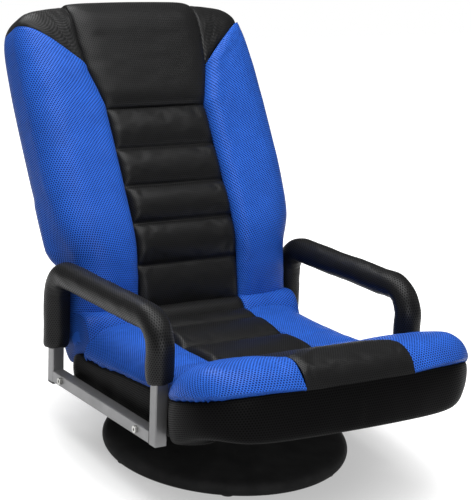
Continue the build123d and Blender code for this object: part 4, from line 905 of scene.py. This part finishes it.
depth = depth + 0.7 * ripple(flat.shape[:2], 81, 5)
mesh = grid_mesh("back_rear_panel", on_back(flat[..., 0], flat[..., 1], depth), fill=True)
piece = add_piece("back_rear_panel", mesh, black_cloth, "backrest", ["back_rear_pad"])

# Covers of the seat and back pads and the bolsters: sewn down at their seams over foam, each
# swells and puckers a little between them. A short cloth simulation does that to its mesh.
SETTLE_FRAMES, SETTLE_CAP = 14, 0.005


def settle(pads):
    """Runs the pads as pressed-out cloth held at their seams, and keeps the shape."""
    for piece, loose in pads:
        mesh = piece.data
        group = piece.vertex_groups.new(name="held")
        for k in range(len(mesh.vertices)):
            group.add([k], float(1 - loose[k]) if k < len(loose) else 1.0, "REPLACE")
        piece.modifiers["smooth"].show_viewport = False
        cloth = piece.modifiers.new("cover", "CLOTH")
        piece.modifiers.move(len(piece.modifiers) - 1, 0)
        cloth.settings.quality = 4
        cloth.settings.mass = 0.25
        cloth.settings.vertex_group_mass = "held"
        cloth.settings.pin_stiffness = 4.0
        cloth.settings.use_pressure = True
        cloth.settings.uniform_pressure_force = 3.0
        cloth.settings.shrink_min = -0.003
        cloth.settings.effector_weights.gravity = 0
        cloth.collision_settings.use_collision = False
        cloth.point_cache.frame_end = SETTLE_FRAMES
    for step in range(1, SETTLE_FRAMES + 1):
        scene.frame_set(step)
    shapes = []
    view = bpy.context.evaluated_depsgraph_get()
    for piece, _ in pads:
        after = piece.evaluated_get(view).data
        place = np.empty(3 * len(after.vertices))
        after.vertices.foreach_get("co", place)
        shapes.append(place.reshape(-1, 3))
    for (piece, _), place in zip(pads, shapes):
        mesh = piece.data
        start = np.empty(3 * len(mesh.vertices))
        mesh.vertices.foreach_get("co", start)
        start = start.reshape(-1, 3)
        move = np.nan_to_num(place - start)
        far = np.linalg.norm(move, axis=1)[:, None]
        move = move * np.minimum(1, SETTLE_CAP / np.maximum(far, 1e-9))
        mesh.vertices.foreach_set("co", (start + move).ravel())
        mesh.update()
        piece.modifiers.remove(piece.modifiers["cover"])
        piece.vertex_groups.clear()
        piece.modifiers["smooth"].show_viewport = True
    scene.frame_set(1)


settle(padding)

# Studio: a floor that glows up to plain white away from the chair, a broad lamp above, a smaller
# one behind, and weak ones at the right and in front.
floor_mesh = grid_mesh("floor", np.array([[(-4, -4, 0), (4, -4, 0)], [(-4, 4, 0), (4, 4, 0)]], float))
floor = bpy.data.objects.new("floor", floor_mesh)
scene.collection.objects.link(floor)
floor_white, tree, shader = new_material("studio floor", (0.5, 0.5, 0.5), 0.9, 0.1)
far = tree.nodes.new("ShaderNodeVectorMath")
far.operation = "LENGTH"
tree.links.new(tree.nodes.new("ShaderNodeTexCoord").outputs["Object"], far.inputs[0])
# The floor's glow is painted light: it rises from 0.41 near the base to full white 0.60 m out, so the floor
# greys round the chair and the lamps' shadows show there.
white = ramp_node(tree, far.outputs["Value"], 0.24, 0.60, 0.41, 1.0)
white.node.interpolation_type = "SMOOTHSTEP"
path_node = tree.nodes.new("ShaderNodeLightPath")
seen = math_node(tree, "MAXIMUM", path_node.outputs["Is Camera Ray"], path_node.outputs["Is Glossy Ray"])
glow = tree.nodes.new("ShaderNodeEmission")
glow.inputs["Color"].default_value = (1, 1, 1, 1)
tree.links.new(math_node(tree, "MULTIPLY", white, seen), glow.inputs["Strength"])
both = tree.nodes.new("ShaderNodeAddShader")
tree.links.new(shader.outputs["BSDF"], both.inputs[0])
tree.links.new(glow.outputs["Emission"], both.inputs[1])
tree.links.new(both.outputs["Shader"], tree.nodes["Material Output"].inputs["Surface"])
floor_mesh.materials.append(floor_white)
floor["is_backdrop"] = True

world = bpy.data.worlds.new("studio")
scene.world = world
world.use_nodes = True
tree = world.node_tree
sky = tree.nodes["Background"]
path_node = tree.nodes.new("ShaderNodeLightPath")
sky.inputs["Color"].default_value = (1, 1, 1, 1)
SKY_LIGHT, SKY_SEEN_MORE = 0.10, 0.9
lit = math_node(tree, "MULTIPLY_ADD", path_node.outputs["Is Camera Ray"], SKY_SEEN_MORE)
lit.node.inputs[2].default_value = SKY_LIGHT
tree.links.new(lit, sky.inputs["Strength"])


def lamp(name, place, target, size, power):
    """A square area lamp at place, facing target."""
    data = bpy.data.lights.new(name, "AREA")
    data.size = size
    data.energy = power
    lamp_object = bpy.data.objects.new(name, data)
    scene.collection.objects.link(lamp_object)
    lamp_object.location = place
    lamp_object.rotation_euler = (Vector(target) - Vector(place)).to_track_quat("-Z", "Y").to_euler()


lamp("key lamp", (-0.35, -0.25, 3.0), (0, 0, 0.4), 2.6, 108)
lamp("rim lamp", (-0.4, 1.7, 2.5), (0, -0.4, 0.3), 1.3, 34)
lamp("side lamp", (2.2, -0.9, 1.6), (0, 0, 0.35), 1.4, 4)
lamp("front lamp", (-0.7, -2.2, 0.9), (-0.15, -0.2, 0.3), 1.0, 16)

# Camera: a long lens at the photograph's height and turn, with its slight roll. Its place and
# angles come from a fit to the arm loops and the rim of the base.
CAMERA_AT = (-1.708, -2.609, 1.389)
turned, raised, rolled = math.radians(-33), math.radians(17.3), math.radians(4.9)
back = Vector((math.sin(turned) * math.cos(raised), -math.cos(turned) * math.cos(raised), math.sin(raised)))
right = Vector((math.cos(turned), math.sin(turned), 0))
up = back.cross(right)
tilted_right = math.cos(rolled) * right + math.sin(rolled) * up
tilted_up = -math.sin(rolled) * right + math.cos(rolled) * up
lens = bpy.data.cameras.new("camera")
lens.lens = 118.7
lens.sensor_width = 36
camera = bpy.data.objects.new("camera", lens)
scene.collection.objects.link(camera)
camera.matrix_world = Matrix((
    (tilted_right.x, tilted_up.x, back.x, CAMERA_AT[0]),
    (tilted_right.y, tilted_up.y, back.y, CAMERA_AT[1]),
    (tilted_right.z, tilted_up.z, back.z, CAMERA_AT[2]),
    (0, 0, 0, 1),
))
scene.camera = camera

# Bounds of the dressed chair, in metres.
low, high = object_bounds()
